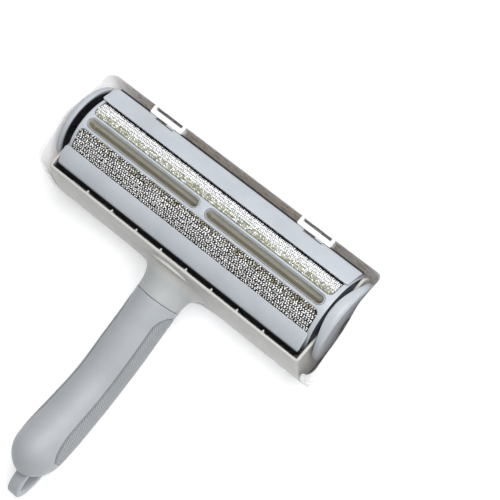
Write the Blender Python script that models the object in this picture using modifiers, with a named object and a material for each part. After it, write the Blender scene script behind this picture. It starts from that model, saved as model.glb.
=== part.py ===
"""Hand-held roller sweeper: rocking fabric drum, hinged dust cover, neck and grip.

The sweeper lies on the crown of its dust cover with the roller side up.
X runs along the roller, the handle points to -Y and Z is up. The origin is on
the crown's flat face, straight below the drum's axle. Sizes are millimetres,
turned into metres where the geometry is made.
"""

import math

import bmesh
import bpy
from mathutils import Matrix

MM = 0.001
GAP = 0.3

# Head
AXIS_Z = 46.0                 # drum axle above the crown
RIM_Z = 59.5                  # top edge of the body's walls
BODY_HALF = 86.0              # outer faces of the end walls
WALL = 1.6
REAR_Y = -31.0                # rear wall's outer face at the rim
REAR_BULGE = 4.8              # how far the rear wall leans out lower down
REAR_LOW_Z = 28.3             # lower edge of the rear wall
FRONT_Y = 24.3                # front edge of the end walls

# Drum and wheels
DRUM_R = 24.0
DRUM_HALF = 82.0
FABRIC_R = 24.2
FABRIC_DEPTH = 1.4
FABRIC_HALF = 80.6
FRONT_STRIP = (10.5, 50.0)    # degrees from straight up, towards the front
REAR_STRIP = (-52.0, -13.0)
SLOT_CENTRES = (-40.9, 40.9)
SLOT_Y = -0.4
SLOT_LENGTH = 77.0
SLOT_WIDTH = 6.2
WHEEL_IN = 87.3
WHEEL_OUT = 91.0
WHEEL_FLAT = 5.0              # the lower half is left off below this height over the axle
WHEEL_R = 24.0

# Cover
COVER_FRONT = 29.8            # outer face of the front wall at the rim
COVER_SIDE = 93.4             # outer face of the end walls at the rim, beside the front corners
COVER_FLARE = 2.5             # how much further out the ends stand towards the rear
COVER_WALL = 1.2
CROWN_HALF = 70.0
CROWN_FRONT = 8.0
CROWN_REAR = -22.0
HINGE_X = 50.6
HINGE_Y = 25.4
HINGE_Z = 57.2
TONGUE_Y = -42.0              # centre of the tongue's round tip
TONGUE_R = 6.8

# Neck and handle
JOINT_Y = -48.4
JOINT_Z = 34.3
JOINT_R = 13.1
JOINT_LEAN = 0.165            # slope of the handle at the neck
HANDLE_END = -163.5
SLEEVE_WALL = 2.2
LOOP_Y = -160.4
LOOP_Z = 16.0

CORE_STEPS = ((-57.0, 6.5), (-57.0, 10.2), (-60.0, 10.2), (-60.0, 6.5),
              (-104.0, 6.5), (-104.0, 9.9), (-107.0, 9.9), (-107.0, 6.5))
HANDLE_WIDTH = ((-48.4, 13.1), (-60.0, 13.4), (-80.0, 13.7), (-100.0, 13.9), (-118.0, 14.7),
                (-135.0, 15.5), (-147.0, 15.6), (HANDLE_END, 15.6))
HANDLE_CENTRE = ((-48.4, 34.3), (-62.0, 31.6), (-80.0, 28.2), (-104.0, 25.0), (-124.0, 26.1),
                 (-145.0, 28.3), (HANDLE_END, 28.8))
HANDLE_DEPTH = ((-48.4, 13.1), (-75.0, 12.8), (-100.0, 12.5), (-124.0, 13.6), (-145.0, 15.6),
                (HANDLE_END, 15.6))


# ---------------------------------------------------------------- helpers

def clear_scene():
    for item in list(bpy.data.objects):
        bpy.data.objects.remove(item)


def new_collection(name):
    group = bpy.data.collections.new(name)
    bpy.context.scene.collection.children.link(group)
    return group


def new_material(name, colour, roughness, metallic=0.0):
    material = bpy.data.materials.new(name)
    material.use_nodes = True
    shader = material.node_tree.nodes["Principled BSDF"]
    shader.inputs["Base Color"].default_value = (*colour, 1.0)
    shader.inputs["Roughness"].default_value = roughness
    shader.inputs["Metallic"].default_value = metallic
    return material


def place(name, mesh, group, material=None):
    item = bpy.data.objects.new(name, mesh)
    group.objects.link(item)
    if material is not None:
        mesh.materials.append(material)
    return item


def mesh_from(bm, name):
    """A mesh whose faces point out: a closed shell's signed volume decides which way that is."""
    bmesh.ops.recalc_face_normals(bm, faces=bm.faces)
    if all(edge.is_manifold for edge in bm.edges) and bm.calc_volume(signed=True) < 0:
        bmesh.ops.reverse_faces(bm, faces=bm.faces)
    mesh = bpy.data.meshes.new(name)
    bm.to_mesh(mesh)
    bm.free()
    return mesh


def smooth_shade(item, angle=35.0):
    item.data.shade_smooth()
    item.data.set_sharp_from_angle(angle=math.radians(angle))


def between(keys, position):
    """Smooth value at a position, from keys listed along the -Y direction."""
    if position >= keys[0][0]:
        return keys[0][1]
    if position <= keys[-1][0]:
        return keys[-1][1]
    spans = list(zip(keys, keys[1:]))
    slopes = [(b[1] - a[1]) / (b[0] - a[0]) for a, b in spans]
    tangents = [slopes[0]] + [0.5 * (s + t) for s, t in zip(slopes, slopes[1:])] + [slopes[-1]]
    for index, (a, b) in enumerate(spans):
        if b[0] <= position <= a[0]:
            width = b[0] - a[0]
            t = (position - a[0]) / width
            hermite = (2 * t**3 - 3 * t**2 + 1) * a[1] + (3 * t**2 - 2 * t**3) * b[1]
            bend = (t**3 - 2 * t**2 + t) * tangents[index] + (t**3 - t**2) * tangents[index + 1]
            return hermite + bend * width
    return keys[-1][1]


def mesh_of(curve, name, matrix):
    """The closed mesh of a curve, its caps welded on, turned by the matrix."""
    holder = bpy.data.objects.new(name, curve)
    bpy.context.scene.collection.objects.link(holder)
    graph = bpy.context.evaluated_depsgraph_get()
    mesh = bpy.data.meshes.new_from_object(holder.evaluated_get(graph))
    bpy.data.objects.remove(holder)
    bpy.data.curves.remove(curve)
    bm = bmesh.new()
    bm.from_mesh(mesh)
    bpy.data.meshes.remove(mesh)
    bmesh.ops.remove_doubles(bm, verts=bm.verts, dist=1e-6)
    bm.transform(matrix)
    return mesh_from(bm, name)


def flat_mesh(name, loops, depth, matrix):
    """Outline loops (u, v) made solid with a 2D curve, then turned by the matrix."""
    curve = bpy.data.curves.new(name, "CURVE")
    curve.dimensions = "2D"
    curve.fill_mode = "BOTH"
    curve.extrude = 0.5 * depth * MM
    for loop in loops:
        spline = curve.splines.new("POLY")
        spline.points.add(len(loop) - 1)
        spline.use_cyclic_u = True
        for point, (u, v) in zip(spline.points, loop):
            point.co = (u * MM, v * MM, 0.0, 1.0)
    return mesh_of(curve, name, matrix)


def plate_across(name, loops, x_from, x_to):
    """A YZ outline made solid from x_from to x_to."""
    turn = Matrix(((0, 0, 1, 0), (1, 0, 0, 0), (0, 1, 0, 0), (0, 0, 0, 1)))
    shift = Matrix.Translation((0.5 * (x_from + x_to) * MM, 0, 0))
    return flat_mesh(name, loops, abs(x_to - x_from), shift @ turn)


def plate_up(name, loops, z_from, z_to):
    """An XY outline made solid from z_from to z_to."""
    return flat_mesh(name, loops, z_to - z_from, Matrix.Translation((0, 0, 0.5 * (z_from + z_to) * MM)))


def box_mesh(name, low, high):
    bm = bmesh.new()
    bmesh.ops.create_cube(bm, size=1.0)
    size = [(b - a) * MM for a, b in zip(low, high)]
    middle = [0.5 * (a + b) * MM for a, b in zip(low, high)]
    bm.transform(Matrix.Translation(middle) @ Matrix.Diagonal((*size, 1.0)))
    return mesh_from(bm, name)


def arc(radius, start, stop, count, centre=(0.0, 0.0)):
    """Points on an arc; the angle is in degrees, from the v axis towards the u axis."""
    points = []
    for index in range(count + 1):
        angle = math.radians(start + (stop - start) * index / count)
        points.append((centre[0] + radius * math.sin(angle), centre[1] + radius * math.cos(angle)))
    return points


def turned(name, profile, steps, group, material, centre):
    """A turned piece on an X axis: profile points are (distance along X, radius), a closed loop."""
    pairs = list(zip(profile, profile[1:] + profile[:1]))
    if sum(a[0] * b[1] - b[0] * a[1] for a, b in pairs) < 0:
        profile = profile[::-1]
    bm = bmesh.new()
    verts = [bm.verts.new((radius * MM, 0.0, along * MM)) for along, radius in profile]
    for first, second in zip(verts, verts[1:] + verts[:1]):
        if first.co.x > 1e-7 or second.co.x > 1e-7:
            bm.edges.new((first, second))
    mesh = bpy.data.meshes.new(name)
    bm.to_mesh(mesh)
    bm.free()
    item = place(name, mesh, group, material)
    item.rotation_euler = (0.0, math.radians(90.0), 0.0)
    item.location = [value * MM for value in centre]
    screw = item.modifiers.new("Turn", "SCREW")
    screw.steps = steps
    screw.render_steps = steps
    screw.use_merge_vertices = True
    screw.merge_threshold = 0.00001
    screw.use_smooth_shade = True
    return item


def ring_mesh(name, rings, closed=True):
    """A loft through rings of equal point count, with a flat face on each end if closed."""
    bm = bmesh.new()
    loops = [[bm.verts.new([value * MM for value in point]) for point in ring] for ring in rings]
    count = len(loops[0])
    for lower, upper in zip(loops, loops[1:]):
        for index in range(count):
            following = (index + 1) % count
            bm.faces.new((lower[index], lower[following], upper[following], upper[index]))
    if closed:
        bm.faces.new(loops[0])
        bm.faces.new(loops[-1])
    bmesh.ops.remove_doubles(bm, verts=bm.verts, dist=2e-6)
    return mesh_from(bm, name)


def boolean(target, cutter, operation, solver="EXACT"):
    step = target.modifiers.new(cutter.name, "BOOLEAN")
    step.operation = operation
    step.solver = solver
    step.object = cutter


def cutter_of(mesh, cutters):
    item = place(mesh.name, mesh, cutters)
    item.hide_render = True
    item.display_type = "WIRE"
    return item


# ---------------------------------------------------------------- head

def rear_wall_y(z):
    """Outer face of the rear wall: upright at its foot, leaning in towards the rim."""
    share = min(1.0, max(0.0, (RIM_Z - z) / (RIM_Z - REAR_LOW_Z)))
    return REAR_Y - REAR_BULGE * math.sin(0.5 * math.pi * share) ** 0.85


def handle_centre(y):
    return between(HANDLE_CENTRE, y)


def neck_size(y):
    """Half width, reach above and below, centre height and lean of the neck at one station."""
    share = min(1.0, max(0.0, (y - JOINT_Y) / (-34.2 - JOINT_Y)))
    flare = 1.0 - math.sqrt(max(0.0, 1.0 - max(0.0, (share - 0.12) / 0.88) ** 2.2))
    return (JOINT_R + 9.5 * flare, JOINT_R + 4.0 * flare, JOINT_R + 0.2 * flare,
            JOINT_Z + 1.6 * share, JOINT_LEAN * (1.0 - share))


def neck_ring(y, count=40):
    """Neck section: round at the joint, flared where it meets the rear wall."""
    width, above, below, centre, lean = neck_size(y)
    ring = []
    for index in range(count):
        angle = 2.0 * math.pi * index / count
        rise = math.sin(angle) * (above if math.sin(angle) > 0 else below)
        ring.append((width * math.cos(angle), y - lean * rise, centre + rise))
    return ring


def body_frame(parts, cutters, material):
    inner = BODY_HALF - WALL
    heights = [REAR_LOW_Z + (RIM_Z - REAR_LOW_Z) * step / 10 for step in range(11)]
    outer = [(rear_wall_y(z), z) for z in heights]
    lining = [(rear_wall_y(z) + WALL, z) for z in reversed(heights)]
    body = place("body_frame", plate_across("body_frame", [outer + lining], -BODY_HALF, BODY_HALF),
                 parts, material)

    top = [(FRONT_Y + (REAR_Y + 0.4 - FRONT_Y) * step / 14) for step in range(15)]
    rim = [(y, RIM_Z - 3.2 * math.sin(math.pi * index / 14) ** 2) for index, y in enumerate(top)]
    foot = [(rear_wall_y(z) + 0.4, z) for z in (50.0, 40.0, REAR_LOW_Z + 1.0)]
    bottom = [(FRONT_Y * math.sin(angle), AXIS_Z - FRONT_Y * math.cos(angle))
              for angle in (math.radians(-30 + 20 * step) for step in range(7))]
    for side, word in ((-1, "left"), (1, "right")):
        wall = plate_across("end_wall_" + word, [rim + foot + bottom], side * inner, side * BODY_HALF)
        boolean(body, cutter_of(wall, cutters), "UNION")
        bore = plate_across("bush_bore_" + word, [arc(4.5, 0, 345, 23, (0.0, AXIS_Z))],
                            side * (inner - 2), side * (BODY_HALF + 2))
        boolean(body, cutter_of(bore, cutters), "DIFFERENCE")

    stations = [JOINT_Y + (-34.2 - JOINT_Y) * (step / 9) for step in range(10)]
    neck = ring_mesh("neck", [neck_ring(y) for y in stations])
    boolean(body, cutter_of(neck, cutters), "UNION")
    seat = box_mesh("button_seat", (-6.4, -52.2, 25.6), (6.4, -44.0, 27.6))
    boolean(body, cutter_of(seat, cutters), "UNION")
    for index in range(9):
        x = -70.0 + 17.5 * index
        rib = plate_across("rib_%d" % index, [[(-30.4, 59.2), (-28.9, 59.0), (-28.9, 54.0), (-31.0, 50.0)]],
                           x - 0.5, x + 0.5)
        boolean(body, cutter_of(rib, cutters), "UNION")

    core_bore = core_mesh("core_bore", 6.8, -38.0, -60.0)
    boolean(body, cutter_of(core_bore, cutters), "DIFFERENCE")
    well = plate_up("spring_well", [arc(2.3, 0, 330, 11, (0.0, -50.2))], 24.0, 26.8)
    boolean(body, cutter_of(well, cutters), "DIFFERENCE")
    pocket = box_mesh("catch_pocket", (-3.2, -46.0, 19.0), (3.2, -39.6, 25.6))
    boolean(body, cutter_of(pocket, cutters), "DIFFERENCE")
    return body


def curved_plate(name, path, thickness, half_length, corner, group, material):
    """A plate swept along X: a YZ path thickened inwards, with its first corners rounded in plan."""
    bm = bmesh.new()
    rows = len(path)
    columns = 12
    loops = []
    for row, (y, z) in enumerate(path):
        inset = 0.0
        travelled = math.dist(path[0], (y, z))
        if corner > 0 and travelled < corner:
            inset = corner - math.sqrt(max(0.0, corner**2 - (corner - travelled) ** 2))
        half = half_length - inset
        loops.append([bm.verts.new(((-half + 2 * half * c / columns) * MM, y * MM, z * MM))
                      for c in range(columns + 1)])
    for row in range(rows - 1):
        for c in range(columns):
            bm.faces.new((loops[row][c], loops[row][c + 1], loops[row + 1][c + 1], loops[row + 1][c]))
    mesh = mesh_from(bm, name)
    if sum(face.normal.z for face in mesh.polygons) < 0:
        mesh.flip_normals()
    item = place(name, mesh, group, material)
    solid = item.modifiers.new("Thickness", "SOLIDIFY")
    solid.thickness = thickness * MM
    solid.offset = -1.0
    solid.use_even_offset = True
    return item


def bowed(start, stop, bow, count):
    """Points from start to stop on a shallow arch that rises by bow in the middle."""
    points = []
    for index in range(count + 1):
        t = index / count
        points.append((start[0] + (stop[0] - start[0]) * t,
                       start[1] + (stop[1] - start[1]) * t + 4.0 * bow * t * (1.0 - t)))
    return points


def front_lip(parts, cutters, material):
    path = [(13.4, 67.2), (13.7, 67.4)] + bowed((14.4, 67.2), (23.4, 60.6), 0.5, 5)
    path += [(24.0, 59.8), (24.0, 57.2)]
    lip = curved_plate("front_lip_plate", path, 1.1, 83.3, 2.5, parts, material)
    for side, word in ((-1, "left"), (1, "right")):
        x = side * HINGE_X
        notch = box_mesh("clip_hole_" + word, (x - 7.0, 22.3, 58.4), (x + 7.0, 23.4, 63.0))
        boolean(lip, cutter_of(notch, cutters), "DIFFERENCE")
        hook = arc(1.45, 255, 80, 12, (HINGE_Y, HINGE_Z))
        outside = arc(2.3, 80, 255, 12, (HINGE_Y, HINGE_Z))
        clip = plate_across("clip_" + word, [hook + outside], x - 3.4, x + 3.4)
        root = box_mesh("clip_root_" + word, (x - 3.4, 22.9, 55.0), (x + 3.4, 24.2, 58.2))
        boolean(lip, cutter_of(clip, cutters), "UNION")
        boolean(lip, cutter_of(root, cutters), "UNION")
    return lip


def rear_lip(parts, material):
    path = [(-16.5, 65.7), (-16.8, 65.8)] + bowed((-17.5, 65.5), (-26.4, 60.2), 0.6, 6)
    path += [(-27.2, 59.4), (-27.6, 58.2), (-28.0, 50.0)]
    return curved_plate("rear_lip_plate", path, 1.2, 82.9, 3.0, parts, material)


def bushes(parts, material):
    for side, word in ((-1, "left"), (1, "right")):
        flange = 0.6
        profile = [(0.0, 4.2), (1.9, 4.2), (1.9, 5.4), (1.9 + flange, 5.4), (1.9 + flange, 2.8), (0.0, 2.8)]
        profile = [(BODY_HALF - 1.6 + along, radius) for along, radius in profile]
        turned("bush_" + word, [(side * a, r) for a, r in profile], 24, parts, material, (0, 0, AXIS_Z))


# ---------------------------------------------------------------- drum

def drum_outline():
    """C-shaped section of the drum shell, stepped down under the two fabric strips."""
    seat = FABRIC_R - FABRIC_DEPTH - GAP
    outside = arc(seat, -112, REAR_STRIP[0] - 0.6, 8) + arc(seat, REAR_STRIP[0], REAR_STRIP[1] + 0.8, 8)
    outside += arc(DRUM_R, REAR_STRIP[1] + 1.4, FRONT_STRIP[0] - 1.4, 6)
    outside += arc(seat, FRONT_STRIP[0] - 0.8, 112, 16)
    inside = arc(seat - 2.0, 112, -112, 26)
    return [(y, AXIS_Z + z) for y, z in outside + inside]


def stadium(length, width, centre, count=10):
    """Round-ended outline along X."""
    radius = 0.5 * width
    reach = 0.5 * length - radius
    right = arc(radius, 0, 180, count, (centre[0] + reach, centre[1]))
    left = arc(radius, 180, 360, count, (centre[0] - reach, centre[1]))
    return right + left


def drum(parts, cutters, pivot, materials):
    shell = place("drum_shell", plate_across("drum_shell", [drum_outline()], -DRUM_HALF, DRUM_HALF),
                  parts, materials["plate"])
    words = ("left", "right")
    for x, word in zip(SLOT_CENTRES, words):
        outline = stadium(SLOT_LENGTH, SLOT_WIDTH, (x, SLOT_Y))
        boolean(shell, cutter_of(plate_up("slot_" + word, [outline], 60.0, 74.0), cutters), "DIFFERENCE")
        width = SLOT_WIDTH - 2 * GAP
        length = SLOT_LENGTH - 2 * GAP
        trough = place("slot_insert_" + word,
                       plate_up("slot_insert_" + word, [stadium(length, width, (x, SLOT_Y))], 60.0, 69.8),
                       parts, materials["trough"])
        hollow = plate_up("trough_" + word, [stadium(length - 1.4, width - 1.4, (x, SLOT_Y))], 61.2, 72.0)
        boolean(trough, cutter_of(hollow, cutters), "DIFFERENCE")
        trough.parent = pivot
    shell.parent = pivot

    for (low, high), word in ((FRONT_STRIP, "front"), (REAR_STRIP, "rear")):
        outline = arc(FABRIC_R, low, high, 10) + arc(FABRIC_R - FABRIC_DEPTH, high, low, 10)
        outline = [(y, AXIS_Z + z) for y, z in outline]
        name = "fabric_strip_" + word
        strip = place(name, plate_across(name, [outline], -FABRIC_HALF, FABRIC_HALF),
                      parts, materials["fabric"])
        strip.parent = pivot

    for side, word in ((-1, "left"), (1, "right")):
        inner = DRUM_HALF + GAP
        disc = [(inner, DRUM_R - 0.2), (84.1, DRUM_R - 0.2), (84.1, 2.6), (81.0, 2.6), (81.0, 6.0), (inner, 6.0)]
        end = turned("drum_end_" + word, [(side * a, r) for a, r in disc], 48, parts,
                     materials["plate"], (0, 0, AXIS_Z))
        pin = [(78.0, 0.0), (78.0, 2.5), (WHEEL_OUT - 1.5, 2.5), (WHEEL_OUT - 1.5, 0.0)]
        axle = turned("axle_" + word, [(side * a, r) for a, r in pin], 20, parts,
                      materials["steel"], (0, 0, AXIS_Z))
        for item in (end, axle) + wheel(parts, cutters, side, word, materials):
            item.parent = pivot


def wheel(parts, cutters, side, word, materials):
    """A dished half hub, its soft tread band and the screw that holds it to the axle."""
    tread = [(WHEEL_IN, WHEEL_R - 0.5), (WHEEL_IN + 0.5, WHEEL_R), (WHEEL_OUT - 1.6, WHEEL_R),
             (WHEEL_OUT - 0.5, WHEEL_R - 0.6), (WHEEL_OUT, WHEEL_R - 1.6), (WHEEL_OUT, WHEEL_R - 2.6),
             (WHEEL_IN, WHEEL_R - 2.6)]
    rim = WHEEL_R - 2.6 - GAP
    web = WHEEL_OUT - 1.2
    hub = [(WHEEL_IN, rim), (WHEEL_OUT, rim), (WHEEL_OUT, rim - 1.5), (web + 0.7, rim - 2.4),
           (web + 0.7, 1.6), (web, 1.6), (web, 2.6), (WHEEL_IN + 0.3, 2.6), (WHEEL_IN + 0.3, 5.0),
           (web - 0.4, 6.5), (web - 0.4, rim - 1.9), (WHEEL_IN, rim - 1.6)]
    screw = [(web + 1.0, 0.0), (web + 1.0, 3.4), (web + 1.6, 2.4), (web + 1.6, 0.0)]
    pieces = (("wheel_tyre_", tread, 56, "tread"), ("wheel_hub_", hub, 40, "dark"),
              ("wheel_screw_", screw, 16, "steel"))
    made = []
    for prefix, profile, steps, slot in pieces:
        made.append(turned(prefix + word, [(side * a, r) for a, r in profile], steps, parts,
                           materials[slot], (0, 0, AXIS_Z)))
    boss = [(7.0 * math.sin(math.radians(a)), AXIS_Z + 7.0 * math.cos(math.radians(a)))
            for a in range(45, 320, 15)]
    outline = [(30.0, AXIS_Z + WHEEL_FLAT)] + boss + [(-30.0, AXIS_Z + WHEEL_FLAT), (-30.0, 10.0), (30.0, 10.0)]
    flat = cutter_of(plate_across("wheel_flat_" + word, [outline], side * 80.0, side * 99.0), cutters)
    for item in made[:2]:
        boolean(item, flat, "DIFFERENCE")
    return tuple(made)


# ---------------------------------------------------------------- cover

def smooth_step(share):
    share = min(1.0, max(0.0, share))
    return share * share * (3.0 - 2.0 * share)


def dome(z, height, power):
    """Share of the full outward reach at a height above the crown, on a rounded profile."""
    low = min(1.0, max(0.0, (height - z) / height))
    return (1.0 - low**power) ** (1.0 / power)


def side_x(z, rim_y):
    """Outer face of an end wall; the ends stand further out from the wheel's crest to the rear."""
    reach = COVER_SIDE + COVER_FLARE * smooth_step((14.0 - rim_y) / 20.0)
    return CROWN_HALF + (reach - CROWN_HALF) * dome(z, 62.0, 2.1)


def front_y(z):
    return CROWN_FRONT + (COVER_FRONT - CROWN_FRONT) * dome(z, 50.0, 2.4)


def rear_y(z):
    """Rear face: rounded under the body, and flush with its leaning rear wall above."""
    if z >= REAR_LOW_Z:
        return rear_wall_y(z)
    return CROWN_REAR + (rear_wall_y(REAR_LOW_Z) - CROWN_REAR) * dome(z, REAR_LOW_Z, 2.3)


def corner_radius(z):
    return 5.5 + 8.5 * (1.0 - min(z, 60.0) / 60.0) ** 1.5


def rear_radius(z):
    return 4.5 + 9.5 * (1.0 - min(z, REAR_LOW_Z) / REAR_LOW_Z) ** 1.5


def rear_narrowing(z):
    """How far the rear face has narrowed towards the crown."""
    foot = side_x(REAR_LOW_Z, -26.0) - rear_radius(REAR_LOW_Z)
    return min(1.0, (side_x(min(z, REAR_LOW_Z), -26.0) - rear_radius(z)) / foot)


def tongue_rim_z(x, y):
    """Rim height where the tongue lies on the neck, its outer face a little proud of it."""
    width, _, below, centre, _ = neck_size(y)
    proud = GAP + COVER_WALL + 0.3
    drop = (below + proud) * math.sqrt(max(0.05, 1.0 - (x / (width + proud)) ** 2))
    return min(REAR_LOW_Z - GAP, centre - drop)


SIDE_RIM = ((24.3, 62.6), (15.0, 64.3), (6.0, 65.2), (-3.0, 65.0), (-12.0, 62.4), (-20.0, 60.8),
            (-26.0, 58.6))


def cover_columns():
    """Columns of the right half: (kind, where along it, rim height), front centre to tongue tip."""
    columns = [("front", x, 58.3) for x in (0.0, 20.0, HINGE_X - 9.0, HINGE_X + 9.0, 76.0)]
    columns += [("front corner", 18.0 * k, 58.3 + 4.3 * smooth_step(k / 5.0)) for k in range(6)]
    for k in range(1, 8):
        y = 24.3 - 50.3 * k / 8
        columns.append(("side", k / 8, between(SIDE_RIM, y)))
    columns += [("rear corner", 18.0 * k, 58.6 - 7.0 * (k / 5.0) ** 1.5) for k in range(6)]
    columns += [("rear", 88.2, 26.8)]
    columns += [("rear", x, REAR_LOW_Z - GAP) for x in (74.0, 60.0, 48.0, 38.0)]
    for x, out, share in ((31.0, 0.1, 0.02), (25.0, 0.3, 0.08), (20.0, 0.9, 0.2), (16.0, 1.9, 0.4),
                          (12.6, 3.3, 0.65), (10.0, 5.0, 0.85)):
        columns.append(("tongue", (x, rear_y(REAR_LOW_Z) - out, share), None))
    for step in range(6):
        angle = math.radians(15 + 75 * step / 5)
        x = TONGUE_R * math.cos(angle) * (1.12 - 0.024 * step)
        columns.append(("tongue", (x, TONGUE_Y - TONGUE_R * math.sin(angle), 1.0), None))
    return columns


def column_xy(kind, where, z):
    """Where a column stands at one height."""
    radius = corner_radius(z)
    if kind == "front":
        return where * min(1.0, (side_x(z, 20.0) - radius) / 86.0), front_y(z)
    if kind == "front corner":
        angle = math.radians(where)
        return (side_x(z, 20.0) - radius * (1.0 - math.sin(angle)),
                front_y(z) - radius * (1.0 - math.cos(angle)))
    if kind == "side":
        start, stop = front_y(z) - radius, rear_y(z) + rear_radius(z)
        return side_x(z, 24.3 - 50.3 * where), start + (stop - start) * where
    if kind == "rear corner":
        angle = math.radians(where)
        radius = rear_radius(z)
        return (side_x(z, -26.0) - radius * (1.0 - math.cos(angle)),
                rear_y(z) + radius * (1.0 - math.sin(angle)))
    return where * rear_narrowing(z), rear_y(z)


def cover_column(kind, where, rim_z, rows):
    """Points of one column, from the crown's edge up to the rim."""
    column = []
    if kind != "tongue":
        for row in range(rows + 1):
            z = rim_z * (1.0 - math.cos(0.5 * math.pi * row / rows)) ** 0.92
            column.append((*column_xy(kind, where, z), z))
        return column
    x, y, share = where
    rim_z = tongue_rim_z(x, y)
    for row in range(rows + 1):
        t = row / rows
        height = rim_z * (1.0 - math.cos(0.5 * math.pi * t)) ** 0.92
        wall = dome(height, REAR_LOW_Z, 2.3) / dome(rim_z, REAR_LOW_Z, 2.3)
        reach = wall * (1.0 - share) + t**0.9 * share
        narrow = rear_narrowing(height) * (1.0 - share) + share
        column.append((x * narrow, CROWN_REAR + (y - CROWN_REAR) * reach,
                       height * (1.0 - share) + rim_z * t**1.45 * share))
    return column


def dust_cover(parts, cutters, pivot, material):
    half = [cover_column(kind, where, rim_z, 8) for kind, where, rim_z in cover_columns()]
    mirrored = [[(-x, y, z) for x, y, z in column] for column in reversed(half[1:-1])]
    columns = half + mirrored
    bm = bmesh.new()
    grid = [[bm.verts.new([value * MM for value in point]) for point in column] for column in columns]
    count = len(grid)
    for index in range(count):
        following = grid[(index + 1) % count]
        for row in range(8):
            bm.faces.new((grid[index][row], following[row], following[row + 1], grid[index][row + 1]))
    middle = bm.verts.new((0.0, 0.5 * (CROWN_FRONT + CROWN_REAR) * MM, 0.0))
    for index in range(count):
        bm.faces.new((grid[index][0], middle, grid[(index + 1) % count][0]))
    bmesh.ops.remove_doubles(bm, verts=bm.verts, dist=1e-5)
    bmesh.ops.recalc_face_normals(bm, faces=bm.faces)
    crown = min(bm.faces, key=lambda face: face.calc_center_median().z)
    if crown.normal.z > 0:
        bmesh.ops.reverse_faces(bm, faces=bm.faces)
    mesh = bpy.data.meshes.new("dust_cover")
    bm.to_mesh(mesh)
    bm.free()
    cover = place("dust_cover", mesh, parts, material)
    solid = cover.modifiers.new("Thickness", "SOLIDIFY")
    solid.thickness = COVER_WALL * MM
    solid.offset = -1.0
    for side, word in ((-1, "left"), (1, "right")):
        x = side * HINGE_X
        window = box_mesh("window_" + word, (x - 8.6, 26.0, 47.0), (x + 8.6, 31.5, 54.6))
        boolean(cover, cutter_of(window, cutters), "DIFFERENCE")
    rebase(cover, pivot)
    return cover


def rebase(item, pivot):
    """Give a piece its origin on the pivot without moving it."""
    item.data.transform(Matrix.Translation([-value for value in pivot.location]))
    item.parent = pivot


def cover_hinges(parts, cutters, pivot, material):
    for side, word in ((-1, "left"), (1, "right")):
        x = side * HINGE_X
        bar = place("cover_hinge_" + word,
                    plate_across("cover_hinge_" + word, [arc(1.1, 0, 340, 17, (HINGE_Y, HINGE_Z))],
                                 x - 10.4, x + 10.4), parts, material)
        for end, tag in ((-1, "a"), (1, "b")):
            arm = arc(1.1, 180, 360, 8, (HINGE_Y, HINGE_Z))
            outline = arm + [(28.1, HINGE_Z + 1.1), (28.1, 50.5), (HINGE_Y + 0.2, HINGE_Z - 1.1)]
            cheek = plate_across("cheek_" + word + tag, [outline], x + end * 9.4, x + end * 10.8)
            boolean(bar, cutter_of(cheek, cutters), "UNION")
        rebase(bar, pivot)


def latch_catch(parts, pivot, material):
    mesh = box_mesh("latch_catch", (-2.4, -45.2, 21.5), (2.4, -43.0, 25.0))
    rebase(place("latch_catch", mesh, parts, material), pivot)


# ---------------------------------------------------------------- handle

def handle_scale(y):
    """Shrinks the section to a point over the rounded end."""
    start = -147.0
    if y > start:
        return 1.0
    share = (start - y) / (start - HANDLE_END)
    return max(0.0, 1.0 - share**2) ** 0.60


def handle_point(y, angle, offset=0.0):
    """Point on the handle's skin; the angle is measured from +X towards +Z."""
    scale = handle_scale(y)
    width = between(HANDLE_WIDTH, y) * scale + offset
    depth = between(HANDLE_DEPTH, y) * scale + offset
    lean = JOINT_LEAN * min(1.0, max(0.0, (y + 112.0) / 50.0))
    rise = depth * math.sin(angle)
    return (width * math.cos(angle), y - lean * rise, handle_centre(y) + rise)


def sleeve_stations(start):
    straight = [start + (-147.0 - start) * step / 14 for step in range(15)]
    rounded = [-147.0 + (HANDLE_END + 147.0) * math.sin(0.5 * math.pi * step / 8) for step in range(1, 8)]
    return straight + rounded


def handle_sleeve(parts, cutters, material):
    count = 36
    bm = bmesh.new()
    loops = []
    for y in sleeve_stations(JOINT_Y - GAP):
        ring = [handle_point(y, 2.0 * math.pi * index / count) for index in range(count)]
        loops.append([bm.verts.new([value * MM for value in point]) for point in ring])
    tip = bm.verts.new((0.0, HANDLE_END * MM, handle_centre(HANDLE_END) * MM))
    for lower, upper in zip(loops, loops[1:]):
        for index in range(count):
            following = (index + 1) % count
            bm.faces.new((lower[index], lower[following], upper[following], upper[index]))
    for index in range(count):
        bm.faces.new((loops[-1][index], loops[-1][(index + 1) % count], tip))
    bmesh.ops.recalc_face_normals(bm, faces=bm.faces)
    if sum((face.calc_center_median().x * face.normal.x) for face in bm.faces) < 0:
        bmesh.ops.reverse_faces(bm, faces=bm.faces)
    mesh = bpy.data.meshes.new("handle_sleeve")
    bm.to_mesh(mesh)
    bm.free()
    sleeve = place("handle_sleeve", mesh, parts, material)
    solid = sleeve.modifiers.new("Thickness", "SOLIDIFY")
    solid.thickness = SLEEVE_WALL * MM
    solid.offset = -1.0
    for side, word in ((-1, "left"), (1, "right")):
        recess = panel_mesh("panel_recess_" + word, side, -0.95, 1.2, 0.35)
        boolean(sleeve, cutter_of(recess, cutters), "DIFFERENCE")
    ring = plate_across("loop_slot", [ellipse(15.5, 10.0), ellipse(10.7, 5.2)], -3.9, 3.9)
    boolean(sleeve, cutter_of(ring, cutters), "DIFFERENCE")
    notch = box_mesh("button_notch", (-9.6, -52.8, 16.0), (9.6, -40.0, 26.8))
    boolean(sleeve, cutter_of(notch, cutters), "DIFFERENCE")
    return sleeve


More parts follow.
